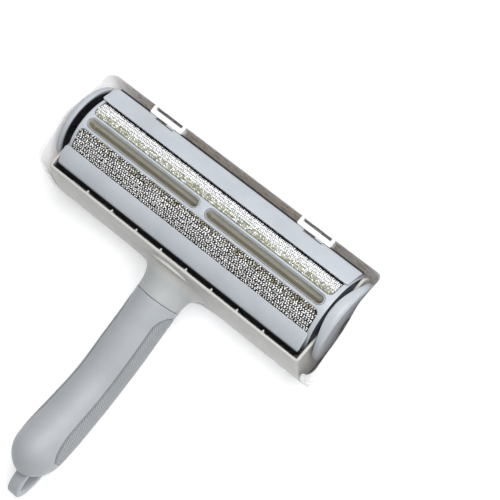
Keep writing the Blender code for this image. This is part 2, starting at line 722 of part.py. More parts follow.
def panel_half_angle(y):
    """Half the angle that a grip panel covers, in degrees; it closes at both ends."""
    if y > -63.0:
        return 40.0 * math.sqrt(max(0.0, 1.0 - ((y + 63.0) / 11.0) ** 2))
    if y < -127.0:
        return 40.0 * math.sqrt(max(0.0, 1.0 - ((y + 127.0) / 22.0) ** 2))
    return 40.0


def panel_mesh(name, side, inner, outer, margin):
    """A curved pad on one side of the handle, between two offsets from its skin."""
    stations = [-52.6, -54.0, -57.5, -63.0, -79.0, -95.0, -111.0, -127.0, -137.0, -144.0, -147.4]
    columns = 8
    rings = []
    for index, y in enumerate(stations):
        grown = y + margin if index == 0 else y - margin if index == len(stations) - 1 else y
        radius = between(HANDLE_WIDTH, y)
        reach = math.radians(panel_half_angle(y)) + margin / radius
        middle = 0.0 if side > 0 else math.pi
        angles = [middle + reach * (2.0 * c / columns - 1.0) for c in range(columns + 1)]
        ring = [handle_point(grown, angle, outer) for angle in angles]
        ring += [handle_point(grown, angle, inner) for angle in reversed(angles)]
        rings.append(ring)
    return ring_mesh(name, rings)


def grip_panels(parts, material):
    for side, word in ((-1, "left"), (1, "right")):
        place("grip_panel_" + word, panel_mesh("grip_panel_" + word, side, -0.6, 0.12, 0.0), parts, material)


def core_mesh(name, radius, start, stop, collars=()):
    """A straight round bar on the sloping line from the neck into the handle, with steps in it."""
    count = 28
    rings = []
    for y, size in [(start, radius)] + [(y, reach) for y, reach in collars] + [(stop, radius)]:
        centre = JOINT_Z + (y - JOINT_Y) * JOINT_LEAN
        rings.append([(size * math.cos(2 * math.pi * i / count),
                       y - JOINT_LEAN * size * math.sin(2 * math.pi * i / count),
                       centre + size * math.sin(2 * math.pi * i / count)) for i in range(count)])
    return ring_mesh(name, rings)


def ellipse(reach, height, count=36):
    return [(LOOP_Y + reach * math.cos(2 * math.pi * i / count),
             LOOP_Z + height * math.sin(2 * math.pi * i / count)) for i in range(count)]


def hanging_loop(parts, material):
    place("hanging_loop", plate_across("hanging_loop", [ellipse(15.1, 9.6), ellipse(11.1, 5.6)], -3.5, 3.5),
          parts, material)


# ---------------------------------------------------------------- button

def under_neck(x, radius):
    return JOINT_Z - 0.3 - math.sqrt(radius**2 - x**2)


def release_button(parts, pivot, material):
    """Crescent round the tip of the tongue, curved like the neck that it lies on."""
    rings = []
    for step in range(13):
        angle = math.radians(-44 + 88 * step / 12)
        points = []
        for reach, radius in ((7.25, 14.4), (10.2, 14.4), (10.2, 12.2), (7.25, 12.2)):
            x = reach * math.sin(angle)
            points.append((x, TONGUE_Y - reach * math.cos(angle), under_neck(x, radius)))
        rings.append(points)
    rebase(place("release_button", ring_mesh("release_button", rings), parts, material), pivot)


def button_spring(parts, material):
    """Small compression coil between the button and the well in its seat."""
    turns, per_turn, radius, wire = 3.5, 10, 1.5, 0.2
    low, high = 22.3, 26.4
    total = int(turns * per_turn)
    curve = bpy.data.curves.new("button_spring", "CURVE")
    curve.dimensions = "3D"
    curve.bevel_depth = wire * MM
    curve.bevel_resolution = 1
    curve.use_fill_caps = True
    spline = curve.splines.new("POLY")
    spline.points.add(total)
    for index, point in enumerate(spline.points):
        angle = 2 * math.pi * index / per_turn
        point.co = (radius * math.cos(angle) * MM, (-50.2 + radius * math.sin(angle)) * MM,
                    (low + (high - low) * index / total) * MM, 1.0)
    place("button_spring", mesh_of(curve, "button_spring", Matrix.Identity(4)), parts, material)


# ---------------------------------------------------------------- assembly

def pivot_at(name, location, parts):
    pivot = bpy.data.objects.new(name, None)
    pivot.location = [value * MM for value in location]
    parts.objects.link(pivot)
    return pivot


def build():
    clear_scene()
    parts = new_collection("roller_sweeper")
    cutters = new_collection("cutters")
    materials = {
        "plate": new_material("cool_gray_abs", (0.62, 0.66, 0.70), 0.35),
        "body": new_material("warm_gray_abs", (0.55, 0.56, 0.54), 0.40),
        "white": new_material("white_abs", (0.88, 0.88, 0.87), 0.30),
        "grip": new_material("gray_soft_touch", (0.45, 0.49, 0.54), 0.55),
        "tread": new_material("tread_gray", (0.52, 0.55, 0.60), 0.50),
        "dark": new_material("dark_plastic", (0.03, 0.03, 0.035), 0.45),
        "trough": new_material("olive_trough", (0.30, 0.28, 0.22), 0.50),
        "fabric": new_material("lint_fabric", (0.70, 0.70, 0.68), 0.80),
        "steel": new_material("steel", (0.60, 0.60, 0.62), 0.30, 1.0),
        "bush": new_material("bush_acetal", (0.80, 0.80, 0.78), 0.35),
    }
    body_frame(parts, cutters, materials["body"])
    front_lip(parts, cutters, materials["plate"])
    rear_lip(parts, materials["plate"])
    bushes(parts, materials["bush"])

    drum_pivot = pivot_at("drum_pivot", (0.0, 0.0, 0.0), parts)
    drum(parts, cutters, drum_pivot, materials)

    cover_pivot = pivot_at("cover_pivot", (0.0, HINGE_Y, HINGE_Z), parts)
    dust_cover(parts, cutters, cover_pivot, materials["white"])
    cover_hinges(parts, cutters, cover_pivot, materials["white"])
    latch_catch(parts, cover_pivot, materials["white"])

    handle_sleeve(parts, cutters, materials["grip"])
    grip_panels(parts, materials["grip"])
    place("handle_core", core_mesh("handle_core", 6.5, -38.4, -113.0, CORE_STEPS), parts, materials["body"])
    hanging_loop(parts, materials["grip"])

    button_pivot = pivot_at("button_pivot", (0.0, TONGUE_Y - 8.7, 21.0), parts)
    release_button(parts, button_pivot, materials["plate"])
    button_spring(parts, materials["steel"])
    for item in parts.objects:
        if item.type == "MESH":
            smooth_shade(item)


build()
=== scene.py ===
"""Looks of the hand-held roller sweeper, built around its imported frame.

Shapes are worked out in millimetres and scaled when each piece is made.
"""

import math
import random

import bmesh
import bpy
from mathutils import Matrix, Vector


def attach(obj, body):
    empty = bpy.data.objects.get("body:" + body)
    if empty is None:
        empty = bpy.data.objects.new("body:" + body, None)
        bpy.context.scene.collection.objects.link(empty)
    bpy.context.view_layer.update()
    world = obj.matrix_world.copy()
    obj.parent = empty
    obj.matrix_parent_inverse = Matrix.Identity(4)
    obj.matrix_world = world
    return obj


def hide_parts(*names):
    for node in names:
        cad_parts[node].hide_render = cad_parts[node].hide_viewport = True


MM = 0.001

# Head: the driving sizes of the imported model, except FRONT_SHOULDER
AXIS_Z = 46.0
RIM_Z = 59.5
BODY_HALF = 86.0
WALL = 1.6
REAR_Y = -31.0
REAR_BULGE, BULGE_FADE = 4.8, 14.0      # the end walls lose the bulge over this length
REAR_LOW_Z = 28.3
FRONT_Y = 24.3
CORNER_R = 2.2                  # rear corners of the body, in plan
RIB_FIRST, RIB_PITCH = -59.0, 17.3
# The rounded front corners of the end walls: how far in and how far down each point lies
FRONT_SHOULDER = ((0.0, 6.0), (0.25, 4.0), (1.0, 2.3), (2.2, 1.1), (3.6, 0.35))

# Drum
DRUM_R = 24.0
DRUM_HALF = 82.0
SEAT_R = 22.5
FABRIC_HALF = 80.6
FRONT_STRIP = (10.5, 50.0)      # degrees from straight up, towards the hinges
REAR_STRIP = (-52.0, -13.0)
# The backing under this bare line is painted near black as the front lip's shadow.
PARTING = (30.7, 35.4)          # bare line in the front pile where the plate's edge presses it
SLOT_CENTRES = (-41.1, 41.1)
SLOT_Y = -0.4
SLOT_LENGTH, SLOT_WIDTH = 77.8, 6.3
WHEEL_IN, WHEEL_OUT, WHEEL_R = 87.3, 91.0, 24.0

# Cover
COVER_FRONT = 29.8
COVER_SIDE = 93.4
COVER_FLARE = 2.5
COVER_WALL = 1.1
CROWN_HALF = 70.0
CROWN_FRONT = 8.0
CROWN_REAR = -22.0
HINGE_X, HINGE_Y, HINGE_Z = 50.6, 25.4, 57.2
WINDOW_HALF = 8.6
WINDOW_LOW, WINDOW_HIGH = 47.0, 54.6
TONGUE_Y, TONGUE_R = -42.0, 6.8
RIM_FRONT = 58.3                # height of the cover's rim along its front
SIDE_DOME, FRONT_DOME, REAR_DOME = (62.0, 2.1), (50.0, 2.4), (REAR_LOW_Z, 2.3)  # height and power
RISE_POWER = 0.92               # how a column's points crowd together near the crown
CORNER_STEPS, SIDE_STEPS, RISE_STEPS = 14, 34, 26
SIDE_RUN, SIDE_REAR = 50.3, -26.0
SIDE_RIM = ((FRONT_Y, 62.6), (15.0, 64.3), (6.0, 65.2), (-3.0, 65.0), (-12.0, 62.4), (-20.0, 60.8),
            (SIDE_REAR, 58.6))

# Handle
JOINT_Y, JOINT_Z, JOINT_R, JOINT_LEAN = -48.4, 34.3, 13.1, 0.165
JOINT_GAP = 0.32
HANDLE_END = -163.5
BULB_Y = -147.0
HANDLE_TIP = BULB_Y + 0.5 * math.pi * (HANDLE_END - BULB_Y)     # the tip as a station along the skin
# Half width, height of the middle line and half depth along the handle
HANDLE_WIDTH = ((JOINT_Y, 13.1), (-60.0, 12.8), (-80.0, 13.1), (-100.0, 13.0), (-118.0, 13.4),
                (-135.0, 13.8), (BULB_Y, 13.6), (HANDLE_END, 13.6))
HANDLE_CENTRE = ((JOINT_Y, 34.3), (-62.0, 31.6), (-80.0, 28.2), (-104.0, 25.0), (-124.0, 26.1),
                 (-145.0, 28.3), (HANDLE_END, 28.8))
HANDLE_DEPTH = ((JOINT_Y, 13.1), (-75.0, 12.8), (-100.0, 12.5), (-124.0, 13.6), (-145.0, 15.6),
                (HANDLE_END, 15.6))
PANEL_ANGLE = 40.0              # degrees, half of what a grip panel covers
PANEL_FRONT, PANEL_NOSE = -63.0, 11.0       # where its round nose starts, and the nose's length
PANEL_BACK, PANEL_TAIL = -127.0, 22.0
KNURL_PITCH, KNURL_SLANT, KNURL_HEIGHT = 1.35, 0.62, 0.30
KNURL_PLAIN = 0.06              # tone of the plain border round the diamonds
GRIP_DEGREE = math.degrees(1.0 / 13.4)      # degrees round the grip for one millimetre of its skin
LOOP_Y, LOOP_Z = -160.4, 16.0

# Looks
PLATE = (0.425, 0.452, 0.487)
WHITE = (0.79, 0.795, 0.803)
GLOW = 0.7                      # how much light the thin white wall lets through
END_LIGHT = 0.10                # stands in for light that comes through the cover's end walls

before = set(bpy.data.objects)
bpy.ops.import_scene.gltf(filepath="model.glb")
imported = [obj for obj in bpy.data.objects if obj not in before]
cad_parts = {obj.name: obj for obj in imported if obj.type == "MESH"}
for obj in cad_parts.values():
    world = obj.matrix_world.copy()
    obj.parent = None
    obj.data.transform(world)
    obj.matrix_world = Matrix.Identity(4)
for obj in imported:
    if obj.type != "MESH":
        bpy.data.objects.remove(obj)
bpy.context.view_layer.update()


# ---------------------------------------------------------------- curves and outlines

def between(keys, position):
    """Smooth value at a position, from keys listed along the -Y direction."""
    if position >= keys[0][0]:
        return keys[0][1]
    if position <= keys[-1][0]:
        return keys[-1][1]
    spans = list(zip(keys, keys[1:]))
    slopes = [(b[1] - a[1]) / (b[0] - a[0]) for a, b in spans]
    tangents = [slopes[0]] + [0.5 * (s + t) for s, t in zip(slopes, slopes[1:])] + [slopes[-1]]
    for index, (a, b) in enumerate(spans):
        if b[0] <= position <= a[0]:
            width = b[0] - a[0]
            t = (position - a[0]) / width
            hermite = (2 * t**3 - 3 * t**2 + 1) * a[1] + (3 * t**2 - 2 * t**3) * b[1]
            bend = (t**3 - 2 * t**2 + t) * tangents[index] + (t**3 - t**2) * tangents[index + 1]
            return hermite + bend * width
    return keys[-1][1]


def smooth_step(share):
    """Eases from 0 to 1, flat at both ends."""
    share = min(1.0, max(0.0, share))
    return share * share * (3.0 - 2.0 * share)


def steps(start, stop, pitch):
    """Evenly spaced values strictly between two limits."""
    count = max(1, round(abs(stop - start) / pitch))
    return [start + (stop - start) * k / count for k in range(1, count)]


def corner_arc(centre, radius, start, stop, count):
    """Points of an arc in (u, v), in degrees from +u towards +v."""
    return [(centre[0] + radius * math.cos(math.radians(start + (stop - start) * k / count)),
             centre[1] + radius * math.sin(math.radians(start + (stop - start) * k / count)))
            for k in range(count + 1)]


def rounded_box(low, high, radii, count=5):
    """Rectangle in (u, v) with its own radius at each corner: low-low, high-low, high-high, low-high."""
    corners = ((low[0], low[1], 180), (high[0], low[1], 270), (high[0], high[1], 0), (low[0], high[1], 90))
    points = []
    for (u, v, start), radius in zip(corners, radii):
        centre = (u + (radius if u == low[0] else -radius), v + (radius if v == low[1] else -radius))
        points += corner_arc(centre, radius, start, start + 90, count)
    return points


def stadium(length, width, centre, count=12):
    """Outline with two parallel sides and two round ends."""
    radius = 0.5 * width
    reach = 0.5 * length - radius
    return (corner_arc((centre[0] + reach, centre[1]), radius, -90, 90, count)
            + corner_arc((centre[0] - reach, centre[1]), radius, 90, 270, count))


class Track:
    """A smooth path in (y, z) that is read by its length."""

    def __init__(self, keys, count=8):
        points = []
        ends = [keys[0]] + list(keys) + [keys[-1]]
        for a, b, c, d in zip(ends, ends[1:], ends[2:], ends[3:]):
            for k in range(count):
                t = k / count
                points.append(tuple(0.5 * (2 * q + (r - p) * t + (2 * p - 5 * q + 4 * r - s) * t * t
                                           + (3 * q - p - 3 * r + s) * t**3)
                                    for p, q, r, s in zip(a, b, c, d)))
        points.append(keys[-1])
        self.points = points
        self.lengths = [0.0]
        for a, b in zip(points, points[1:]):
            self.lengths.append(self.lengths[-1] + math.dist(a, b))
        self.length = self.lengths[-1]

    def at(self, distance):
        """Point and left-hand normal at a distance along the path."""
        distance = min(self.length, max(0.0, distance))
        index = next((k for k in range(1, len(self.lengths)) if self.lengths[k] >= distance), 1)
        a, b = self.points[index - 1], self.points[index]
        span = self.lengths[index] - self.lengths[index - 1]
        t = (distance - self.lengths[index - 1]) / span if span else 0.0
        before, after = self.points[max(0, index - 2)], self.points[min(len(self.points) - 1, index + 1)]
        first = Vector((b[0] - before[0], b[1] - before[1])).normalized()
        second = Vector((after[0] - a[0], after[1] - a[1])).normalized()
        along = first.lerp(second, t).normalized()
        return (a[0] + (b[0] - a[0]) * t, a[1] + (b[1] - a[1]) * t), (-along.y, along.x)


# ---------------------------------------------------------------- mesh building

def flat_sheet(outer, holes, u_lines, v_lines):
    """A sheet in (u, v) with holes, cut along grid lines so that it can be bent."""
    bm = bmesh.new()
    edges = []
    for loop in [outer, *holes]:
        corners = [bm.verts.new((u, v, 0.0)) for u, v in loop]
        edges += [bm.edges.new((corners[k - 1], corners[k])) for k in range(len(corners))]
    bmesh.ops.triangle_fill(bm, edges=edges, use_beauty=True, normal=(0, 0, 1))
    for lines, axis in ((u_lines, 0), (v_lines, 1)):
        for value in lines:
            point, normal = [0.0, 0.0, 0.0], [0.0, 0.0, 0.0]
            point[axis], normal[axis] = value, 1.0
            bmesh.ops.bisect_plane(bm, geom=bm.verts[:] + bm.edges[:] + bm.faces[:], dist=1e-4,
                                   plane_co=point, plane_no=normal)
    bm.normal_update()
    for face in bm.faces:
        if face.normal.z < 0:
            face.normal_flip()
    return bm


def edge_profile(thickness, radius, turn):
    """Offsets (outward, height) from the top face's edge round to the underside's edge."""
    turns = [0.5 * math.pi * k / turn for k in range(turn + 1)]
    top = [(radius * math.sin(a), -radius * (1 - math.cos(a))) for a in turns[1:]]
    return top + [(radius * math.cos(a), -thickness + radius * (1 - math.sin(a))) for a in turns]


def slab(outer, holes, u_lines, v_lines, thickness, radius, turn=3, seam=None, lift=None):
    """Closed slab with rolled edges: top at height 0, underside at -thickness, still in (u, v, h).

    The rolled edges stand proud of the given outlines by the radius. seam(u, v) is true on open
    edges that meet their own other side, and lift(u, v) raises points of the top face."""
    bm = flat_sheet(outer, holes, u_lines, v_lines)
    top = list(bm.faces)
    top_verts = list(bm.verts)
    rim = []
    away = {}
    for edge in bm.edges:
        middle = 0.5 * (edge.verts[0].co + edge.verts[1].co)
        if not edge.is_boundary or (seam and seam(middle.x, middle.y)):
            continue
        loop = edge.link_loops[0]
        a, b = loop.vert, loop.link_loop_next.vert
        along = (b.co - a.co).normalized()
        rim.append((a, b))
        for vert in (a, b):
            away.setdefault(vert, []).append(Vector((along.y, -along.x, 0.0)))
    for vert, normals in away.items():
        total = normals[0] + normals[-1]
        away[vert] = total / max(0.6, 1.0 + normals[0].dot(normals[-1])) if len(normals) > 1 else normals[0]
    rings = {vert: [vert] for vert in away}
    for offset, height in edge_profile(thickness, radius, turn):
        for vert, normal in away.items():
            place = vert.co + normal * offset
            rings[vert].append(bm.verts.new((place.x, place.y, height)))
    for a, b in rim:
        for low_a, high_a, low_b, high_b in zip(rings[a], rings[a][1:], rings[b], rings[b][1:]):
            bm.faces.new((low_b, low_a, high_a, high_b))
    under = {vert: rings[vert][-1] if vert in rings else bm.verts.new((vert.co.x, vert.co.y, -thickness))
             for vert in top_verts}
    for face in top:
        bm.faces.new([under[vert] for vert in reversed(face.verts)])
    if lift:
        for vert in top_verts:
            if vert not in rings:
                vert.co.z += lift(vert.co.x, vert.co.y)
    return bm


def bent(bm, mapping):
    """Moves every point of a mesh by a mapping of its three coordinates."""
    for vert in bm.verts:
        vert.co = mapping(*vert.co)
    return bm


def ring_faces(bm, ring, following):
    """Quads between two closed rings of points."""
    for k, vert in enumerate(ring):
        after = (k + 1) % len(ring)
        bm.faces.new((vert, ring[after], following[after], following[k]))


def tube(bm, rings):
    """Quads through closed rings of points."""
    made = [[bm.verts.new(point) for point in ring] for ring in rings]
    for lower, upper in zip(made, made[1:]):
        ring_faces(bm, lower, upper)
    return made


def capped(bm, rings):
    """Closed body through closed rings, with flat ends."""
    made = tube(bm, rings)
    bm.faces.new(list(reversed(made[0])))
    bm.faces.new(made[-1])
    return made


def loft(rings):
    """A capped body as a mesh of its own."""
    bm = bmesh.new()
    capped(bm, rings)
    return bm


def spun(profile, start, stop, count, centre_z=AXIS_Z):
    """A closed (x, radius) outline turned about the X axis at a height, in degrees from straight up."""
    whole = abs(stop - start) >= 360
    rings = []
    for k in range(count if whole else count + 1):
        angle = math.radians(start + (stop - start) * k / count)
        rings.append([(x, r * math.sin(angle), centre_z + r * math.cos(angle)) for x, r in profile])
    if not whole:
        return loft(rings)
    bm = bmesh.new()
    tube(bm, rings + [rings[0]])
    return bm


def joined(*parts):
    """One mesh from several closed ones."""
    whole = bmesh.new()
    for part in parts:
        mesh = bpy.data.meshes.new("part")
        part.to_mesh(mesh)
        part.free()
        whole.from_mesh(mesh)
        bpy.data.meshes.remove(mesh)
    return whole


def mirrored(bm):
    return bent(bm, lambda x, y, z: Vector((-x, y, z)))


def piece(name, bm, body, material, nodes=(), sharp=38.0, outward=True):
    """Makes the object of one piece, riding on its body."""
    bmesh.ops.remove_doubles(bm, verts=bm.verts, dist=2e-4)
    if outward:
        bmesh.ops.recalc_face_normals(bm, faces=bm.faces)
    bmesh.ops.scale(bm, vec=(MM, MM, MM), verts=bm.verts)
    mesh = bpy.data.meshes.new(name)
    bm.to_mesh(mesh)
    bm.free()
    mesh.materials.append(material)
    mesh.shade_smooth()
    mesh.set_sharp_from_angle(angle=math.radians(sharp))
    item = bpy.data.objects.new(name, mesh)
    bpy.context.scene.collection.objects.link(item)
    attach(item, body)
    if nodes:
        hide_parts(*nodes)
    return item


# ---------------------------------------------------------------- materials

class Finish:
    """A Principled material whose nodes are added one by one."""

    def __init__(self, name, roughness, specular=0.5, metallic=0.0):
        self.material = bpy.data.materials.new(name)
        self.material.use_nodes = True
        self.tree = self.material.node_tree
        self.shader = self.tree.nodes["Principled BSDF"]
        self.shader.inputs["Roughness"].default_value = roughness
        self.shader.inputs["Specular IOR Level"].default_value = specular
        self.shader.inputs["Metallic"].default_value = metallic
        self.place = self.add("ShaderNodeTexCoord").outputs["Object"]

    def add(self, kind, inputs=(), **values):
        """A new node with its settings, and the values of its inputs as (name, value)."""
        node = self.tree.nodes.new(kind)
        for key, value in values.items():
            setattr(node, key, value)
        for key, value in inputs:
            node.inputs[key].default_value = value
        return node

    def link(self, source, target):
        self.tree.links.new(source, target)

    def noise(self, scale, detail=3.0):
        node = self.add("ShaderNodeTexNoise", (("Scale", scale), ("Detail", detail), ("Roughness", 0.6)))
        self.link(self.place, node.inputs["Vector"])
        return node.outputs["Fac"]

    def ramp(self, source, stops):
        node = self.add("ShaderNodeValToRGB")
        band = node.color_ramp
        while len(band.elements) < len(stops):
            band.elements.new(0.5)
        for element, (position, colour) in zip(band.elements, stops):
            element.position = position
            element.color = (*colour, 1.0)
        self.link(source, node.inputs["Fac"])
        return node.outputs["Color"]

    def blend(self, factor, first, second, mode="MIX"):
        node = self.add("ShaderNodeMix", data_type="RGBA", blend_type=mode)
        for socket, value in ((node.inputs[0], factor), (node.inputs[6], first), (node.inputs[7], second)):
            if isinstance(value, (int, float)):
                socket.default_value = value
            elif isinstance(value, tuple):
                socket.default_value = (*value, 1.0)
            else:
                self.link(value, socket)
        return node.outputs[2]

    def times(self, first, second):
        """One colour multiplied by another."""
        return self.blend(1.0, first, second, "MULTIPLY")

    def math(self, operation, *sources):
        """Result of a math node on one or two sockets."""
        node = self.add("ShaderNodeMath", operation=operation)
        for socket, source in zip(node.inputs, sources):
            self.link(source, socket)
        return node.outputs[0]

    def span(self, source, low, high, to_low=0.0, to_high=1.0):
        limits = (("From Min", low), ("From Max", high), ("To Min", to_low), ("To Max", to_high))
        node = self.add("ShaderNodeMapRange", limits)
        self.link(source, node.inputs["Value"])
        return node.outputs["Result"]

    def axis(self, letter):
        node = self.add("ShaderNodeSeparateXYZ")
        self.link(self.place, node.inputs[0])
        return node.outputs[letter]

    def band(self, letter, low, high, to_low=0.0, to_high=1.0):
        """Change between two places along one axis, in millimetres."""
        return self.span(self.axis(letter), low * MM, high * MM, to_low, to_high)

    def sideways(self, low, high, to_low=0.0, to_high=1.0):
        """Change between two distances from the middle, x = 0, in millimetres."""
        return self.span(self.math("ABSOLUTE", self.axis("X")), low * MM, high * MM, to_low, to_high)

    def attribute(self, name):
        return self.add("ShaderNodeAttribute", attribute_name=name).outputs["Fac"]

    def bump(self, heights):
        """heights is a list of (height, distance in millimetres, strength)."""
        last = None
        for source, distance, strength in heights:
            node = self.add("ShaderNodeBump", (("Strength", strength), ("Distance", distance * MM)))
            self.link(source, node.inputs["Height"])
            if last:
                self.link(last, node.inputs["Normal"])
            last = node.outputs["Normal"]
        self.link(last, self.shader.inputs["Normal"])

    def colour(self, source):
        self.link(source, self.shader.inputs["Base Color"])

    def base(self):
        """The colour so far."""
        return self.shader.inputs["Base Color"].links[0].from_socket

    def roughness(self, source):
        self.link(source, self.shader.inputs["Roughness"])

    def sheen(self, weight, roughness):
        self.shader.inputs["Sheen Weight"].default_value = weight
        self.shader.inputs["Sheen Roughness"].default_value = roughness


def plastic(name, colour, roughness, grain=0.012, specular=0.45, drift=0.05, flow=0.02):
    """Moulded plastic: a fine spark-eroded grain, faint flow marks and slightly uneven gloss.

    grain and flow are their heights in millimetres, and drift is how far the colour wanders."""
    finish = Finish(name, roughness, specular)
    low = tuple(value * (1.0 - drift) for value in colour)
    high = tuple(min(1.0, value * (1.0 + drift)) for value in colour)
    base = finish.ramp(finish.noise(45.0, 4.0), ((0.35, low), (0.65, high)))
    speck = finish.ramp(finish.noise(2600.0, 2.0), ((0.30, (0.93, 0.93, 0.93)), (0.70, (1.0, 1.0, 1.0))))
    finish.colour(finish.times(base, speck))
    finish.roughness(finish.span(finish.noise(160.0, 4.0), 0.3, 0.7, roughness - 0.05, roughness + 0.07))
    finish.bump([(finish.noise(2600.0, 2.0), grain, 0.5), (finish.noise(320.0, 3.0), flow, 0.25)])
    return finish


def cover_white():
    """White outside; the lining is the same plastic seen through, with painted shade: warm towards the
    middle, paler towards the ends, and a faint painted glow near the end walls.
    """
    finish = plastic("cover_white", WHITE, 0.28, grain=0.004, drift=0.012, flow=0.003)
    # Painted shade on the lining: warm beige towards the middle, paler towards the ends.
    painted_lining_shade = finish.ramp(finish.sideways(60.0, 92.5), ((0.0, (0.96, 0.88, 0.83)), (0.55, (0.94, 0.89, 0.86)),
                                                     (0.9, (0.97, 0.96, 0.955))))
    finish.colour(finish.blend(finish.attribute("lining"), finish.base(), painted_lining_shade))
    front = finish.band("Y", 14.0, 24.0, 0.0, GLOW)
    ends = finish.sideways(87.0, 92.0, 0.0, GLOW)
    finish.link(finish.math("MAXIMUM", front, ends), finish.shader.inputs["Subsurface Weight"])
    finish.shader.inputs["Subsurface Radius"].default_value = (0.0026, 0.0023, 0.0021)
    finish.shader.inputs["Subsurface Scale"].default_value = 1.0
    # Painted light: the lining near the end walls glows a little, for light coming through them.
    painted_end_glow = finish.math("MULTIPLY", finish.attribute("lining"), finish.sideways(86.0, 91.5, 0.0, END_LIGHT))
    finish.link(painted_end_glow, finish.shader.inputs["Emission Strength"])
    finish.shader.inputs["Emission Color"].default_value = (1.0, 0.99, 0.98, 1.0)
    return finish.material


def lip_plate():
    """Plate gray; below the rolled edge the skirt is painted black as shade."""
    finish = plastic("lip_plate", PLATE, 0.36)
    # Painted shade: near black below about 58 mm, under the rolled edge.
    finish.colour(finish.blend(finish.band("Z", 58.0, 58.6), (0.010, 0.010, 0.012), finish.base()))
    return finish.material


def cap_plate():
    """Plate gray round the rim of the drum's ends; the stepped part beyond it is painted dark slate as shade.
    """
    finish = plastic("cap_plate", PLATE, 0.36)
    left = finish.band("X", -82.45, -82.63)
    right = finish.band("X", 83.45, 83.58)
    # Painted shade: dark slate beyond the rim of each end.
    finish.colour(finish.blend(finish.math("MAXIMUM", left, right), finish.base(), (0.035, 0.038, 0.047)))
    return finish.material


def shell_gray():
    """Light gray wall with a painted warm reflection, cooler and darker on the neck as painted shade, painted
    near black as shade inside the two ends.
    """
    finish = plastic("shell_gray", (1.0, 1.0, 1.0), 0.42)
    # One plastic: the neck's cooler, darker tone is painted shade, the wall's warmer tone a painted
    # reflection.
    neck_shade_wall_warmth = finish.ramp(finish.band("Y", -40.0, -35.0),
                               ((0.0, (0.375, 0.390, 0.392)), (1.0, (0.475, 0.470, 0.452))))
    # Painted shade: near black on the inner faces of the end walls, below the rim.
    ends = finish.math("MULTIPLY", finish.sideways(85.0, 85.4, 1.0, 0.0), finish.sideways(80.0, 81.0))
    ends = finish.math("MULTIPLY", ends, finish.band("Y", -30.0, -29.4))
    inside = finish.math("MULTIPLY", ends, finish.band("Z", 56.0, 58.4, 1.0, 0.0))
    finish.colour(finish.blend(inside, finish.times(neck_shade_wall_warmth, finish.base()), (0.02, 0.02, 0.022)))
    return finish.material


def soft_touch(name, colour, roughness):
    """Soft-touch moulding: matt, with a faint velvet sheen."""
    finish = plastic(name, colour, roughness, grain=0.010, specular=0.35, drift=0.035)
    finish.sheen(0.12, 0.5)
    return finish


def pad_gray():
    """Grip panels: the valleys between the diamonds are painted darker than their tops, as shade."""
    finish = soft_touch("pad_gray", (0.375, 0.393, 0.414), 0.55)
    # Painted shade: darker the lower a point lies between the diamonds.
    depth = finish.ramp(finish.span(finish.attribute("knurl"), 0.0, 0.34),
                        ((0.0, (0.40, 0.40, 0.40)), (0.55, (0.95, 0.95, 0.95)), (1.0, (1.0, 1.0, 1.0))))
    finish.colour(finish.times(finish.base(), depth))
    return finish.material


def trough_olive():
    """The troughs: plate gray at the lip, khaki walls and an olive floor, darker towards the floor and across
    its middle as painted shade, with a painted highlight on the wall nearer the hinges.
    """
    finish = Finish("trough_olive", 0.42, 0.4)
    # Khaki to olive, darkening towards the floor as painted shade.
    sunk = finish.ramp(finish.band("Z", 63.2, 70.0),
                       ((0.0, (0.25, 0.235, 0.17)), (0.25, (0.38, 0.355, 0.27)), (0.55, (0.56, 0.535, 0.45)),
                        (0.86, (0.64, 0.625, 0.56)), (0.94, (0.44, 0.465, 0.50))))
    # Painted shade across the floor, darkest near its middle.
    across = finish.ramp(finish.band("Y", -3.0, 2.2),
                         ((0.0, (0.62, 0.62, 0.60)), (0.45, (0.42, 0.41, 0.38)), (0.95, (1.0, 1.0, 1.0))))
    # Painted highlight: the wall nearer the hinges is pale, as if lit.
    painted_wall_highlight = finish.band("Y", -0.4, 2.2)
    shaded = finish.blend(painted_wall_highlight, finish.times(sunk, across), (0.82, 0.81, 0.77))
    walls = finish.blend(finish.band("Z", 68.8, 69.4), shaded, sunk)
    cloud = finish.ramp(finish.noise(210.0, 4.0), ((0.3, (0.86, 0.86, 0.84)), (0.7, (1.0, 1.0, 1.0))))
    finish.colour(finish.times(walls, cloud))
    finish.bump([(finish.noise(2400.0, 2.0), 0.01, 0.4)])
    return finish.material


def pile_material(name, stops, dark):
    """Bristle tufts: each takes its own tone, and its foot is painted dark as shade."""
    finish = Finish(name, 0.45, 0.55)
    tone = finish.ramp(finish.attribute("tone"), stops)
    # Painted shade: dark at the foot of each tuft, fading out as it rises.
    foot = finish.ramp(finish.attribute("rise"), ((0.15, dark), (0.62, (1.0, 1.0, 1.0))))
    finish.colour(finish.times(tone, foot))
    finish.bump([(finish.noise(3800.0, 3.0), 0.03, 0.6)])
    finish.sheen(0.25, 0.4)
    return finish.material


def backing_material(name, colour, weft):
    """Woven backing under the pile: crossed yarns, painted near black as the front lip's shadow where it lies
    towards the hinges.
    """
    finish = Finish(name, 0.85, 0.25)
    waves = []
    for direction in ("X", "Y"):
        wave = finish.add("ShaderNodeTexWave", (("Scale", 380.0), ("Distortion", 1.2), ("Detail", 2.0)),
                          wave_type="BANDS", bands_direction=direction)
        finish.link(finish.place, wave.inputs["Vector"])
        waves.append(wave.outputs["Fac"])
    weave = finish.math("MAXIMUM", *waves)
    yarns = finish.ramp(weave, ((0.35, colour), (0.9, weft)))
    # Painted shadow: near black from 11.7 mm towards the hinges, under the front lip.
    finish.colour(finish.blend(finish.band("Y", 11.4, 11.7), yarns, (0.008, 0.008, 0.009)))
    finish.bump([(weave, 0.15, 0.8)])
    return finish.material


